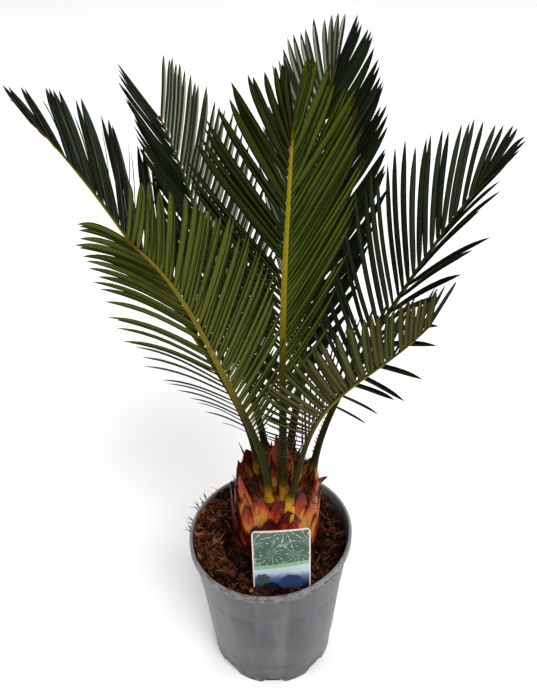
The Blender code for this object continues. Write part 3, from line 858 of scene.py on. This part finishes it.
def pot_look():
    """Satin grey plastic with peat dust on the lip and round the foot, and painted light and shade.

    Its lighter vertical streaks are painted reflections over an uneven tone, the lip's lighter band is a
    painted highlight, and the darkening towards the foot and the dark lines under the steps are painted shade.
    """
    look = Look("pot plastic", "#4c4d4e", 0.36, 0.4)
    height = look.axis("Z")
    cloud = look.noise(34 * MM, 3)
    streak = look.noise(17 * MM, 3, stretch=(1, 1, 0.05))
    fine = look.noise(1.1 * MM, 4)
    # Uneven tone, with lighter vertical streaks painted as reflections
    base = look.ramp(cloud * 0.3 + streak * 0.7, (0.36, "#34363a"), (0.5, "#44464a"), (0.62, "#585a5c"))
    # Painted highlight: a lighter band round the lip
    base = look.mix(look.between(height, 150 * MM, 156 * MM) * 0.7, base, "#808180")
    # Painted shade: darker towards the foot
    base = look.mix(look.between(height, 70 * MM, 10 * MM) * 0.25, base, "#323334")
    # Painted shade: a dark line just under each step, where its ledge shades the wall
    for step in POT_STEP_HEIGHTS:
        apart = look.math("ABSOLUTE", height - (step - 0.7 * MM))
        base = look.mix(look.between(apart, 1.2 * MM, 0.5 * MM) * 0.6, base, "#1d1e20")
    smear = look.noise(7 * MM, 5, 0.7, stretch=(1, 1, 2.2))
    dust_lip = look.between(height, 147 * MM, 156 * MM) * look.between(look.axis("Y"), 0.0, -50 * MM)
    dust_lip = dust_lip * look.between(smear, 0.42, 0.62)
    foot = look.between(height, 26 * MM, 2 * MM) * look.between(look.noise(7 * MM, 4), 0.4, 0.62)
    dust = look.math("ADD", dust_lip, foot * 0.6, clamp=True)
    dust = look.math("ADD", dust, look.between(fine, 0.68, 0.74) * 0.25, clamp=True)
    look.set("Base Color", look.mix(dust * 0.7, base, "#3e271a"))
    gloss = look.between(streak + fine * 0.3, 0.3, 0.9, 0.26, 0.42)
    look.set("Roughness", look.math("ADD", gloss, dust * 0.35, clamp=True))
    look.bump(look.noise(0.7 * MM, 2) * 0.25 + look.noise(14 * MM, 2), 0.5 * MM, 0.35)
    return look


# Soil


def soil_relief(x, y):
    """Rounded clods with creases between them."""
    flat = np.stack([x, y, np.zeros_like(x)], -1).reshape(-1, 3)
    lumps = rough(flat, 24 * MM, 3, 2) * 2.2 * MM
    clods = np.abs(rough(flat, 10 * MM, 8, 2)) * 7.0 * MM
    grit = np.abs(rough(flat, 3.6 * MM, 5, 3)) * 2.2 * MM
    return (lumps + clods + grit).reshape(np.shape(x)) - 2.2 * MM


def soil_wall():
    """Radius of the pot's inside at the level of the soil."""
    return pot_radius(SOIL_LEVEL) - POT_WALL


def soil_top(x, y):
    """Height of the peat: near the rim all round but for the right, where it falls away at the wall."""
    turn = np.arctan2(y, x)
    radius = np.hypot(x, y)
    z = SOIL_LEVEL + SOIL_TILT * np.cos(turn - SOIL_TILT_TOWARDS)
    towards = np.clip(np.cos(turn - SOIL_RISE_TOWARDS), 0, 1)
    z = z + SOIL_RISE * towards * smoothstep(radius, 30 * MM, 60 * MM)
    right = np.clip(np.cos(turn + radians(12)), 0, 1) ** 2
    drop = (9 * right - 1.5 * (1 - right)) * MM
    z = z - drop * smoothstep(radius, soil_wall() - (5 + 4 * right) * MM, soil_wall())
    heap = (3 + 3 * np.clip(-np.cos(turn - radians(20)), 0, 1)) * MM
    z = z + heap * smoothstep(radius, 62 * MM, TRUNK_FOOT_RADIUS)
    return z + soil_relief(x, y)


def soil_look():
    """Peat, redder at the left, with grains of coir.

    Near black in its creases and lighter red brown on the clods: painted shade and painted highlight, by
    height.
    """
    look = Look("peat", "#1a0c07", 0.95, 0.08)
    grain = look.noise(1.5 * MM, 5, 0.7)
    clump = look.noise(9 * MM, 4)
    # Painted shade and highlight: by the relief's height the creases go near black and the clod tops lighter
    tone = look.value("relief") * 0.5 + grain * 0.35 + clump * 0.3
    dark = look.ramp(tone, (0.32, "#060202"), (0.5, "#140805"), (0.66, "#2a130b"), (0.86, "#4e2a18"))
    red = look.ramp(tone, (0.3, "#120504"), (0.46, "#34130b"), (0.6, "#5a2a19"), (0.78, "#8c573a"))
    leftwards = look.between(look.axis("X") + clump * (12 * MM), -24 * MM, -46 * MM)
    leftwards = leftwards * look.between(look.axis("Y"), -44 * MM, -20 * MM)
    look.set("Base Color", look.mix(leftwards, dark, red))
    look.set("Roughness", look.between(grain, 0.3, 0.7, 0.82, 0.98))
    look.bump(grain + look.cells(2.2 * MM), 0.9 * MM, 0.9)
    return look


def build_soil():
    turns = turns_of(SOIL_SIDES)
    shares = np.linspace(0, 1, SOIL_RINGS) ** 0.9
    # From the ring round the trunk out to the wall
    trunk = np.array(TRUNK_FOOT[:2])
    inner = (TRUNK_FOOT_RADIUS - 6 * MM) * outwards_at(turns)[:, :2] + trunk
    outer = in_pot(soil_wall() - SOIL_GAP, turns, SOIL_LEVEL)[:, :2]
    flat = inner[None] + (outer - inner)[None] * shares[:, None, None]
    top = np.concatenate([flat, soil_top(flat[..., 0], flat[..., 1])[..., None]], -1)
    # Height of the relief, kept for the peat's painted shade in the creases and painted highlight on the clods
    relief = soil_relief(flat[..., 0], flat[..., 1]) / (4 * MM) + 0.4
    low = POT_FLOOR + 0.3 * MM
    heights = np.array([0.0, 0.2, 0.5, 0.8]) * (top[-1, :, 2].min() - low) + low
    side = [in_pot(pot_radius(z) - POT_WALL - SOIL_GAP, turns, z) for z in heights]
    rings = np.concatenate([np.stack(side), top[::-1]])
    relief = np.concatenate([np.zeros((len(side), SOIL_SIDES)), np.clip(relief[::-1], 0, 1)])
    bottom = np.array([[0, 0, low]])
    middle = np.array([[*trunk, SOIL_LEVEL - 8 * MM]])
    pile = Pile()
    pile.add_tubes(rings[None], bottom, middle, 0, relief=relief)
    keep(pile.build("soil_bed", [soil_look()]), "peat", "soil")


def scatter_on_soil(count, chance):
    """Places on the peat, between trunk and wall."""
    turn = chance.uniform(0, 2 * pi, count)
    inner = TRUNK_FOOT_RADIUS - 1 * MM
    outer = soil_wall() - 1.5 * MM
    radius = np.sqrt(chance.uniform(inner ** 2, outer ** 2, count))
    near = 1 - smoothstep(radius, inner, outer)
    x = radius * np.cos(turn) + TRUNK_FOOT.x * near
    y = radius * np.sin(turn) + TRUNK_FOOT.y * near
    return x, y, soil_top(x, y)


def ball():
    """Points and faces of a ball of 80 triangles."""
    shape = bmesh.new()
    bmesh.ops.create_icosphere(shape, subdivisions=2, radius=1)
    points = np.array([v.co[:] for v in shape.verts])
    faces = [tuple(v.index for v in face.verts) for face in shape.faces]
    shape.free()
    return points, faces


def build_crumbs():
    """Lumps of peat and bark lying on the bed."""
    chance = dice(3)
    points, faces = ball()
    x, y, z = scatter_on_soil(CRUMB_COUNT, chance)
    pile = Pile()
    sizes = 0.7 * MM + 1.9 * MM * chance.random(CRUMB_COUNT) ** 3
    shade = chance.choice(len(CRUMB_COLOURS), CRUMB_COUNT, p=CRUMB_SHARES)
    for k in range(CRUMB_COUNT):
        squash = np.diag(chance.uniform(0.6, 1.25, 3))
        angle = chance.uniform(0, 2 * pi)
        turn = np.array(Matrix.Rotation(angle, 3, Vector(chance.normal(size=3)).normalized()))
        lump = points * (1 + 0.22 * chance.normal(size=(len(points), 1)))
        lump = lump @ squash @ turn * sizes[k]
        pile.add(lump + np.array([x[k], y[k], z[k] + 0.2 * sizes[k]]), faces, int(shade[k]))
    looks = [plain_look(f"peat crumb {k}", colour, 0.92, 0.08, 0.8, 0.8, 0.4, 3)
             for k, colour in enumerate(CRUMB_COLOURS)]
    keep(pile.build("soil_crumbs", looks), "peat")


def strands(starts, ways, lengths, girths, bends, steps, sides):
    """Rings and ends of thin strands, for Pile.add_tubes. bends holds the direction each turns towards."""
    u = np.linspace(0, 1, steps + 1)
    lines = [starts]
    for k in range(steps):
        way = unit(ways + bends * u[k])
        lines.append(lines[-1] + way * (lengths / steps)[:, None])
    lines = np.stack(lines, 1)
    tangent = unit(np.gradient(lines, axis=1))
    helper = np.where(np.abs(tangent[..., 2:]) < 0.9, np.array([0.0, 0, 1]), np.array([1.0, 0, 0]))
    first = unit(np.cross(tangent, helper))
    girth = girths[:, None] * (1 - 0.75 * u[None] ** 2)
    rings = lines[:, :, None] + circles(first, np.cross(tangent, first), sides) * girth[:, :, None, None]
    return rings[:, :-1], lines[:, 0] - tangent[:, 0] * girths[:, None], lines[:, -1]


def build_fibres():
    """Coir: fine curved fibres over the bed, some standing over the rim at the left."""
    chance = dice(4)
    pile = Pile()
    x, y, z = scatter_on_soil(FIBRE_COUNT, chance)
    starts = np.stack([x, y, z + 0.2 * MM], 1)
    turn = chance.uniform(0, 2 * pi, FIBRE_COUNT)
    lift = chance.normal(0.25, 0.35, FIBRE_COUNT)
    ways = np.stack([np.cos(turn), np.sin(turn), lift], 1)
    bends = chance.normal(0, 0.9, (FIBRE_COUNT, 3))
    bends[:, 2] = -np.abs(bends[:, 2]) - 0.5 * lift
    lengths = chance.uniform(5, 17, FIBRE_COUNT) * MM
    girths = chance.uniform(0.10, 0.26, FIBRE_COUNT) * MM
    shade = chance.choice(len(FIBRE_COLOURS), FIBRE_COUNT, p=FIBRE_SHARES)
    pile.add_tubes(*strands(starts, ways, lengths, girths, bends, 7, 5), shade[:, None, None])

    # A mat of paler fibres at the left, by the wall
    around = chance.uniform(*MAT_TURNS, MAT_COUNT)
    reach = chance.uniform(50, 69, MAT_COUNT) * MM
    x, y = reach * np.cos(around), reach * np.sin(around)
    starts = np.stack([x, y, soil_top(x, y) + 0.3 * MM], 1)
    ways = unit(chance.normal(0, 1, (MAT_COUNT, 3)) * np.array([1, 1, 0.35]))
    bends = chance.normal(0, 0.9, (MAT_COUNT, 3)) * np.array([1, 1, 0.5])
    lengths = chance.uniform(5, 15, MAT_COUNT) * MM
    girths = chance.uniform(0.14, 0.3, MAT_COUNT) * MM
    shade = chance.choice(len(MAT_SHARES), MAT_COUNT, p=MAT_SHARES)
    pile.add_tubes(*strands(starts, ways, lengths, girths, bends, 7, 5), shade[:, None, None])

    rim = LIP_RADIUS - 3 * MM
    for angle, reach, tuft in TUFTS:
        around = angle + chance.uniform(-0.12, 0.12, tuft)
        out = outwards_at(around)
        starts = out * rim + np.array([0, 0, POT_HEIGHT - 6 * MM])
        ways = out + chance.uniform(0.5, 1.4, tuft)[:, None] * np.array([0, 0, 1])
        bends = chance.normal(0, 0.7, (tuft, 3))
        lengths = chance.uniform(0.6, 1.1, tuft) * reach
        girths = chance.uniform(0.3, 0.46, tuft) * MM
        pile.add_tubes(*strands(starts, ways, lengths, girths, bends, 7, 5), len(FIBRE_COLOURS) - 1)
    looks = [plain_look(f"coir {k}", colour, 0.8, 0.1, 0.5, 0.5) for k, colour in enumerate(FIBRE_COLOURS)]
    keep(pile.build("soil_fibres", looks), "peat")


# Trunk


def trunk_radius(z):
    """Straight at the soil, widest low down, drawn in towards the crown."""
    swell = smoothstep(z, TRUNK_STRAIGHT_UNTIL, TRUNK_WIDEST_HEIGHT)
    low = TRUNK_FOOT_RADIUS + (TRUNK_WIDEST_RADIUS - TRUNK_FOOT_RADIUS) * swell
    share = np.clip((z - TRUNK_WIDEST_HEIGHT) / (TRUNK_TOP.z - TRUNK_WIDEST_HEIGHT), 0, 2)
    high = TRUNK_WIDEST_RADIUS + (TRUNK_TOP_RADIUS - TRUNK_WIDEST_RADIUS) * share ** TRUNK_TAPER_POWER
    return np.where(z < TRUNK_WIDEST_HEIGHT, low, high)


def trunk_axis(z):
    """The middle of the trunk at a height."""
    share = smoothstep(z, TRUNK_STRAIGHT_UNTIL, TRUNK_TOP.z)
    return (TRUNK_FOOT.x + (TRUNK_TOP.x - TRUNK_FOOT.x) * share,
            TRUNK_FOOT.y + (TRUNK_TOP.y - TRUNK_FOOT.y) * share)


def lumpy_rings(x, y, z, radius, sides, lump, seed, octaves, height):
    """Rings of an uneven upright body: middles and radius at its heights, and its lumps' size and height."""
    out = outwards_at(turns_of(sides))
    middle = np.stack(np.broadcast_arrays(x, y, z), -1)
    rings = middle[:, None] + radius[:, None, None] * out[None]
    bumps = rough(rings.reshape(-1, 3), lump, seed, octaves).reshape(len(z), sides)
    return (rings + out[None] * bumps[..., None] * height)[None]


def build_core(look):
    """The uneven body under the scales."""
    heights = np.linspace(TRUNK_FOOT.z, TRUNK_TOP.z - 3 * MM, 44)
    x, y = trunk_axis(heights)
    rings = lumpy_rings(x, y, heights, trunk_radius(heights) - CORE_DEPTH, 120, 7 * MM, 2, 4, 1.6 * MM)
    ends = np.array([[x[0], y[0], heights[0]]]), np.array([[x[-1], y[-1], heights[-1] + 3 * MM]])
    pile = Pile()
    pile.add_tubes(rings, *ends, 0, along=0.8, edge=0.5, tone=0.5, dust=0.8)
    keep(pile.build("trunk_core", [look]), "trunk_scales", "trunk")


def add_scale(pile, foot, out, rise_way, width, length, lean, curl, bend_radius, thick, tone, dust):
    """One pointed scale: foot point, outward direction and upward direction, curved round the trunk.

    lean and curl are how far it stands out at its tip, evenly and towards its end.
    tone and dust are kept for its colours.
    """
    up = np.linspace(0, 0.975, SCALE_ROWS) ** 0.9
    across = np.linspace(-1, 1, SCALE_COLUMNS)
    broad = np.maximum((1 - up ** 1.45) ** 0.95, 0) * 0.97
    broad = broad + 0.05 * smoothstep(up, 0.6, 0.9) * (1 - up ** 6)
    side = np.cross(rise_way, out)
    sideways = (width / 2 * broad)[:, None] * across[None]
    drop = bend_radius - np.sqrt(np.maximum(bend_radius ** 2 - sideways ** 2, 0))
    keel = 1.1 * MM * (1 - np.abs(across)) ** 1.5
    lift = lean * up + curl * up ** 3
    outward = lift[:, None] - drop + keel[None] * (1 - up[:, None] ** 2)
    climb = length * up
    middle = foot + climb[:, None, None] * rise_way + sideways[..., None] * side + outward[..., None] * out
    depth = thick * (1 - 0.85 * up ** 0.7)[:, None] * (1 - 0.75 * np.abs(across) ** 2)[None]
    back = middle - depth[..., None] * out
    rings = np.concatenate([middle, back[:, ::-1]], 1)
    edge = np.abs(np.concatenate([across, across]))
    ends = rings[:1].mean(1), rings[-1:].mean(1) + rise_way * 0.6 * MM
    pile.add_tubes(rings[None], *ends, 0, along=up[:, None], edge=edge, tone=tone, dust=dust)


def scale_look():
    """Yellow foot, then orange and red, and a purple brown point and margin, more or less on each scale."""
    look = Look("trunk scales", "#8a3a18", 0.5, 0.14)
    edge, dust = look.value("edge"), look.value("dust")
    blotch = look.noise(8 * MM, 4, 0.6, stretch=(1, 1, 0.6))
    streak = look.noise(2.6 * MM, 4, 0.6, stretch=(1, 1, 0.16))
    fine = look.noise(0.9 * MM, 4, 0.65, stretch=(1, 1, 0.25))
    shift = look.value("along") * 0.86 + (blotch - 0.5) * 0.75 + (streak - 0.5) * 0.65
    shift = shift + (look.value("tone") - 0.5) * 0.8 + edge * edge * 0.12
    base = look.ramp(shift * 0.84, (0.27, "#a8742a"), (0.38, "#ab5c20"), (0.49, "#9c3613"),
                     (0.64, "#7c180c"), (0.78, "#3e0b0c"), (0.93, "#160607"))
    base = look.mix(look.between(streak, 0.5, 0.62) * 0.7, base, look.mix(0.5, base, "#7a0f08"))
    base = look.mix(look.between(fine, 0.55, 0.75) * 0.3, base, "#b06a38")
    dry = look.between(dust + blotch * 0.6, 0.7, 1.1) * 0.85
    base = look.mix(dry, base, look.ramp(fine, (0.35, "#280c08"), (0.53, "#552313"), (0.7, "#8a542c")))
    look.set("Base Color", base)
    look.set("Roughness", look.between(dry + fine * 0.3, 0.1, 1.0, 0.42, 0.88))
    look.bump(look.noise(0.9 * MM, 3, stretch=(1, 1, 0.12)) + blotch * 1.4, 0.6 * MM, 0.6)
    return look


def build_scales(look):
    """Leaf bases in a rough spiral, each lapping over the feet of those above, and a collar of them."""
    chance = dice(5)
    pile = Pile()
    for number in range(SCALE_COUNT):
        share = (number + 0.5) / SCALE_COUNT
        turn = number * GOLDEN_TURN + radians(25) + chance.normal(0, 0.07)
        z = SCALES_FROM + SCALES_CLIMB * share + chance.normal(0, 1.6) * MM
        length = chance.uniform(34, 43) * MM * (1 - 0.12 * share)
        width = chance.uniform(24, 31) * MM
        low, high = trunk_radius(z) - CORE_DEPTH + 1 * MM, trunk_radius(z + length * 0.8)
        out = outwards_at(turn)
        foot = np.array([*trunk_axis(z), z]) + out * low
        lean = high - low + chance.uniform(-0.4, 1.0) * MM
        tilt = chance.normal(0, 0.1)
        rise_way = np.array([-sin(turn) * sin(tilt), cos(turn) * sin(tilt), cos(tilt)])
        curl = chance.uniform(-1.0, 1.0) * MM
        tone = 0.6 + 0.2 * chance.normal() + 0.4 * smoothstep(share, 0.4, 0.1)
        tone += 0.55 * max(0.0, cos(turn - DARK_SIDE)) * smoothstep(share, 0.95, 0.6)
        dust = 0.45 * smoothstep(share, 0.35, 0.0) + 0.22 * smoothstep(share, 0.72, 0.95)
        dust += 0.2 * chance.random()
        add_scale(pile, foot, out, rise_way, width, length, lean, curl, float(high), 4.5 * MM, tone, dust)
    # The collar, under the crown's edge
    upright = np.array([0.0, 0, 1])
    for number in range(COLLAR_COUNT):
        turn = 2 * pi * (number + chance.uniform(-0.2, 0.2)) / COLLAR_COUNT
        z = chance.uniform(199, 204) * MM
        length = chance.uniform(31, 36) * MM
        width = chance.uniform(20, 25) * MM
        low, high = trunk_radius(z) - CORE_DEPTH + 1.2 * MM, trunk_radius(z + length)
        out = outwards_at(turn)
        foot = np.array([*trunk_axis(z), z]) + out * low
        tone = 0.52 + 0.16 * chance.normal()
        curl = chance.uniform(-1, 1) * MM
        dust = 0.15 + 0.25 * chance.random()
        lean = high - low
        add_scale(pile, foot, out, upright, width, length, lean, curl, float(high), 3.5 * MM, tone, dust)
    keep(pile.build("trunk_scale_leaves", [look], sharp=60), "trunk_scales")


# Crown


def crown_look():
    """Rust brown scale leaves under wool, papery at the feet and dark at their points."""
    look = Look("crown scales", "#46201a", 0.85, 0.1)
    blotch = look.noise(4 * MM, 4)
    wool = look.noise(0.7 * MM, 4, 0.7, stretch=(1, 1, 0.3))
    shift = look.value("along") + (blotch + (look.value("tone") - 1.0)) * 0.7
    base = look.ramp(shift, (0.0, "#c08448"), (0.28, "#984a22"), (0.55, "#561b10"), (0.82, "#180606"))
    look.set("Base Color", look.mix(look.between(wool, 0.55, 0.75) * 0.45, base, "#6c3a20"))
    look.set("Roughness", look.between(wool, 0.3, 0.7, 0.7, 0.95))
    look.bump(wool, 0.5 * MM, 0.8)
    return look


def build_cataphylls(look):
    """Scale leaves of the crown: broad round its edge, long and narrow round the bud, a few thin spikes."""
    chance = dice(6)
    pile = Pile()
    for number in range(CATAPHYLL_COUNT):
        share = (number + 0.5) / CATAPHYLL_COUNT
        spike = number % 6 == 1
        middle = TRUNK_TOP.lerp(BUD_CENTRE, share)
        out = outwards_at(number * GOLDEN_TURN)
        lean_angle = radians(26 - 23 * share) + chance.normal(0, 0.08)
        rise_way = unit(np.array([0, 0, cos(lean_angle)]) + out * sin(lean_angle))
        outward = np.cross(np.cross(rise_way, out), rise_way)
        foot = np.array([middle.x, middle.y, (219 + 19 * share) * MM]) + out * (33 - 25 * share ** 0.8) * MM
        if spike:
            length, width, thick = chance.uniform(27, 33) * MM, 3.6 * MM, 2.2 * MM
        else:
            length = chance.uniform(12, 18) * MM + 25 * MM * share ** 1.3
            width = chance.uniform(12, 16) * MM * (1 - 0.45 * share)
            thick = 2.6 * MM
        curl = chance.uniform(-2, 2.5) * MM
        tone = 1.0 if spike else (0.2 + 0.6 * share) * chance.random()
        add_scale(pile, foot, unit(outward), rise_way, width, length, 0, curl, 9 * MM, thick, tone, 0.0)
    keep(pile.build("crown_scale_leaves", [look], sharp=60), "bud_wool")


def build_bud(look):
    """The woolly cone in the middle, with its lumps."""
    shares = np.linspace(0, 0.97, 26)
    z = TRUNK_TOP.z - 8 * MM + (BUD_HEIGHT + 4 * MM) * shares
    radius = (BUD_RADIUS + 4 * MM * (1 - shares)) * (1 - shares ** 2.4)
    rings = lumpy_rings(BUD_CENTRE.x, BUD_CENTRE.y, z, radius, 48, 6 * MM, 9, 3, 1.5 * MM)
    ends = [np.array([[BUD_CENTRE.x, BUD_CENTRE.y, height]]) for height in (z[0], z[-1] + 1.5 * MM)]
    pile = Pile()
    pile.add_tubes(rings, *ends, 0, along=shares[:, None] * 0.6, tone=0.5)
    keep(pile.build("crown_bud_cone", [look]), "bud_wool", "crown_bud")


def build_wool():
    """Hairs of brown wool on the middle and back of the crown, clear of the stalks' feet."""
    chance = dice(7)
    count = WOOL_COUNT
    turn = chance.uniform(0, 2 * pi, count)
    reach = TRUNK_TOP_RADIUS * np.sqrt(chance.uniform(0.02, 1.05, count))
    x = TRUNK_TOP.x + reach * np.cos(turn)
    y = TRUNK_TOP.y + reach * np.sin(turn)
    near = np.clip(1 - np.hypot(x - BUD_CENTRE.x, y - BUD_CENTRE.y) / (20 * MM), 0, 1)
    beyond = np.clip(reach / TRUNK_TOP_RADIUS - 0.94, 0, 1)
    z = 229 * MM + 34 * MM * near - 150 * MM * beyond + chance.uniform(-5, 5, count) * MM
    starts = np.stack([x, y, z], 1)
    clear = np.ones(count, bool)
    for leaf in FRONDS:
        foot = np.array(leaf.base)
        outwards = unit(foot - np.array(TRUNK_TOP[:2]))
        apart = starts[:, :2] - foot
        beside = np.abs(apart[:, 0] * outwards[1] - apart[:, 1] * outwards[0])
        clear &= (apart @ outwards < -4 * MM) | (beside > 7 * MM)
    clear &= y > TRUNK_TOP.y - (19 + 14 * chance.random(count) ** 3) * MM
    ways = outwards_at(turn) * 0.5 + np.array([0, 0, 1]) + chance.normal(0, 0.5, (count, 3))
    bends = chance.normal(0, 1.0, (count, 3))
    lengths = chance.uniform(4, 10, count) * MM
    girths = chance.uniform(0.16, 0.32, count) * MM
    shade = chance.integers(0, len(WOOL_COLOURS), count)
    hairs = [values[clear] for values in (starts, unit(ways), lengths, girths, bends)]
    pile = Pile()
    pile.add_tubes(*strands(*hairs, 5, 4), shade[clear][:, None, None])
    looks = [plain_look(f"wool {k}", colour, 0.9, 0.1, 0.5, 0.5) for k, colour in enumerate(WOOL_COLOURS)]
    keep(pile.build("crown_wool", looks), "bud_wool")


# Label


def label_outline():
    """The card's rounded outline with its stake, seen from the front, anticlockwise from the stake."""
    half = LABEL_WIDTH / 2
    stake = STAKE_WIDTH / 2
    points = [(0, -STAKE_LENGTH), (stake, -STAKE_LENGTH + stake), (stake, 0)]
    top = LABEL_HEIGHT
    for x, z, start in ((half, 0, -90), (half, top, 0), (-half, top, 90), (-half, 0, 180)):
        centre_x = x - LABEL_CORNER if x > 0 else x + LABEL_CORNER
        centre_z = z - LABEL_CORNER if z > 0 else z + LABEL_CORNER
        points += rounded(centre_x, centre_z, start, 8, LABEL_CORNER)
    return points + [(-stake, 0), (-stake, -STAKE_LENGTH + stake)]


def label_look():
    """A plain printed picture: rosettes of green stripes on a pale ground, a pale green band, blues below."""
    look = Look("label card", "#d8dcd8", 0.34, 0.3)
    u, v = look.value("u"), look.value("v")
    edge = look.noise(2.2 * MM, 3, 0.7)
    speckle = look.noise(1.3 * MM, 4, 0.75)

    def from_middle(x, y):
        """Across, above and far from a spot, in card widths."""
        across, above = u - x, (v - y) * (LABEL_HEIGHT / LABEL_WIDTH)
        return across, above, look.math("SQRT", across * across + above * above)

    colour = look.mix(look.between(v, 0.4, 0.7), "#939a90", "#a9aea4")
    colour = look.mix(look.between(speckle, 0.42, 0.56), colour, "#3c5a4a")
    for x, y, radius, stripes, light, dark in ROSETTES:
        # Bent stripes that run out from a middle and end ragged
        across, above, far = from_middle(x, y)
        bent = look.math("ARCTAN2", above, across) + far * 1.6
        wave = look.math("SINE", bent * float(stripes))
        ragged = far + edge * 0.12 - wave * 0.03
        shown = look.between(ragged, radius + 0.07, radius + 0.05) * look.between(wave, -0.9, 0.0)
        colour = look.mix(shown, colour, look.mix(look.between(wave, -0.3, 0.9), dark, light))
    lower = look.ramp(v + look.noise(5 * MM, 3) * 0.08, (0.06, "#10161e"), (0.16, "#2a3858"),
                      (0.26, "#5c6c8e"), (0.36, "#b2bcca"))
    for x, y, radius, hue in HILLS:
        ragged = from_middle(x, y)[2] + edge * 0.16
        lower = look.mix(look.between(ragged, radius + 0.085, radius + 0.07), lower, hue)
    slope = v + u * -0.06
    colour = look.mix(look.between(slope, 0.375, 0.365), colour, lower)
    band = look.between(slope, 0.365, 0.375) * look.between(slope, 0.432, 0.422)
    colour = look.mix(band, colour, look.mix(look.between(speckle, 0.45, 0.6), "#6f9a6c", "#8db087"))
    # The print ends short of the card's edges
    inside = look.between(u, 0.02, 0.028) * look.between(u, 0.98, 0.972) * look.between(v, 0.985, 0.979)
    colour = look.mix(inside * look.value("front"), "#d2c6c4", colour)
    grime = look.between(v + look.noise(3 * MM, 4) * 0.12, 0.12, 0.04)
    look.set("Base Color", look.mix(grime * 0.85, colour, "#160c08"))
    look.set("Roughness", look.between(look.noise(8 * MM, 3), 0.3, 0.7, 0.26, 0.42))
    look.bump(look.noise(1.0 * MM, 2), 0.05 * MM, 0.4)
    return look


def build_label():
    """A bowed card on a stake, in rows so that it can bow."""
    turn = Matrix.Rotation(LABEL_YAW, 4, "Z") @ Matrix.Rotation(-LABEL_LEAN, 4, "X")
    place = Matrix.Translation(LABEL_FOOT) @ turn
    shape = bmesh.new()
    shape.faces.new([shape.verts.new((x, 0, z)) for x, z in label_outline()])
    cuts = [(Vector((1, 0, 0)), spot) for spot in np.linspace(-24, 24, 17)]
    cuts += [(Vector((0, 0, 1)), spot) for spot in np.linspace(-24, 64, 23)]
    for way, spot in cuts:
        whole = shape.verts[:] + shape.edges[:] + shape.faces[:]
        bmesh.ops.bisect_plane(shape, geom=whole, plane_co=way * spot * MM, plane_no=way, dist=1e-7)
    shape.verts.index_update()
    points = np.array([v.co[:] for v in shape.verts])
    faces = [[v.index for v in face.verts] for face in shape.faces]
    shape.free()
    u = points[:, 0] / LABEL_WIDTH + 0.5
    v = points[:, 2] / LABEL_HEIGHT
    bow = -LABEL_BOW * (1 - (2 * u - 1) ** 2) * smoothstep(v, -0.1, 0.6)
    half = LABEL_THICKNESS / 2
    ahead = np.array([0, 1, 0])
    front = points + (bow - half)[:, None] * ahead
    back = points + (bow + half)[:, None] * ahead
    count = len(points)
    ends = dict.fromkeys((a, b) for face in faces for a, b in zip(face, face[1:] + face[:1]))
    whole = faces + [[count + c for c in reversed(face)] for face in faces]
    whole += [[b, a, count + a, count + b] for a, b in ends if (b, a) not in ends]
    world = np.array([place @ Vector(p) for p in np.concatenate([front, back])])
    pile = Pile()
    pile.add(world, whole, 0, u=np.tile(u, 2), v=np.tile(v, 2), front=np.repeat([1.0, 0.0], count))
    keep(pile.build("label_print", [label_look()], sharp=40), "label_card", "label")


# Studio


def build_studio():
    """A wide pale floor."""
    look = Look("studio floor", "#f4f4f3", 0.7)
    look.set("Base Color", look.mix(look.noise(0.8, 2), "#f2f2f1", "#f6f6f5"))
    mesh = bpy.data.meshes.new("studio_floor")
    corners = [(x * FLOOR_REACH, y * FLOOR_REACH, 0) for x, y in ((-1, -1), (1, -1), (1, 1), (-1, 1))]
    mesh.from_pydata(corners, [], [(0, 1, 2, 3)])
    mesh.materials.append(look.material)
    put("studio_floor", mesh)


def build_lights():
    """A wide soft key from above the front, softboxes at both sides and behind, and a pale sky."""
    sun = bpy.data.lights.new("key", "SUN")
    sun.energy = SUN_POWER
    sun.angle = SUN_ANGLE
    put("key", sun).rotation_euler = SUN_FROM.to_track_quat("Z", "Y").to_euler()
    for name, place, size, power in SOFTBOXES:
        lamp = bpy.data.lights.new(name, "AREA")
        lamp.shape = "RECTANGLE"
        lamp.size, lamp.size_y = size
        lamp.energy = power
        box = put(name, lamp)
        box.location = place
        box.rotation_euler = (Vector(place) - SOFTBOX_AIM).to_track_quat("Z", "Y").to_euler()
    world = bpy.data.worlds.new("studio")
    world.use_nodes = True
    sky = world.node_tree.nodes["Background"].inputs
    sky["Color"].default_value = (1, 1, 1, 1)
    sky["Strength"].default_value = SKY_POWER
    bpy.context.scene.world = world
    bpy.context.scene.view_settings.view_transform = "Standard"


def build_camera():
    lens = bpy.data.cameras.new("camera")
    lens.lens = LENS
    lens.sensor_width = 36
    lens.clip_start = 0.01
    lens.clip_end = 50
    camera = put("camera", lens)
    turn = Matrix.Rotation(pi / 2 - CAMERA_PITCH, 4, "X") @ Matrix.Rotation(CAMERA_ROLL, 4, "Z")
    camera.matrix_world = Matrix.Translation(CAMERA_PLACE) @ turn
    bpy.context.scene.camera = camera


def main():
    build_camera()
    build_studio()
    build_lights()
    build_pot()
    build_soil()
    build_crumbs()
    build_fibres()
    scales = scale_look()
    build_core(scales)
    build_scales(scales)
    crown = crown_look()
    build_bud(crown)
    build_cataphylls(crown)
    build_wool()
    build_label()
    looks = {family: leaf_looks(family) for family in FAMILIES}
    ribs = {family: stalk_look(family) for family in STALKS}
    for number, leaf in enumerate(FRONDS):
        build_leaflets(leaf, number, looks)
        build_stalk(leaf, number, ribs[leaf.family])


main()
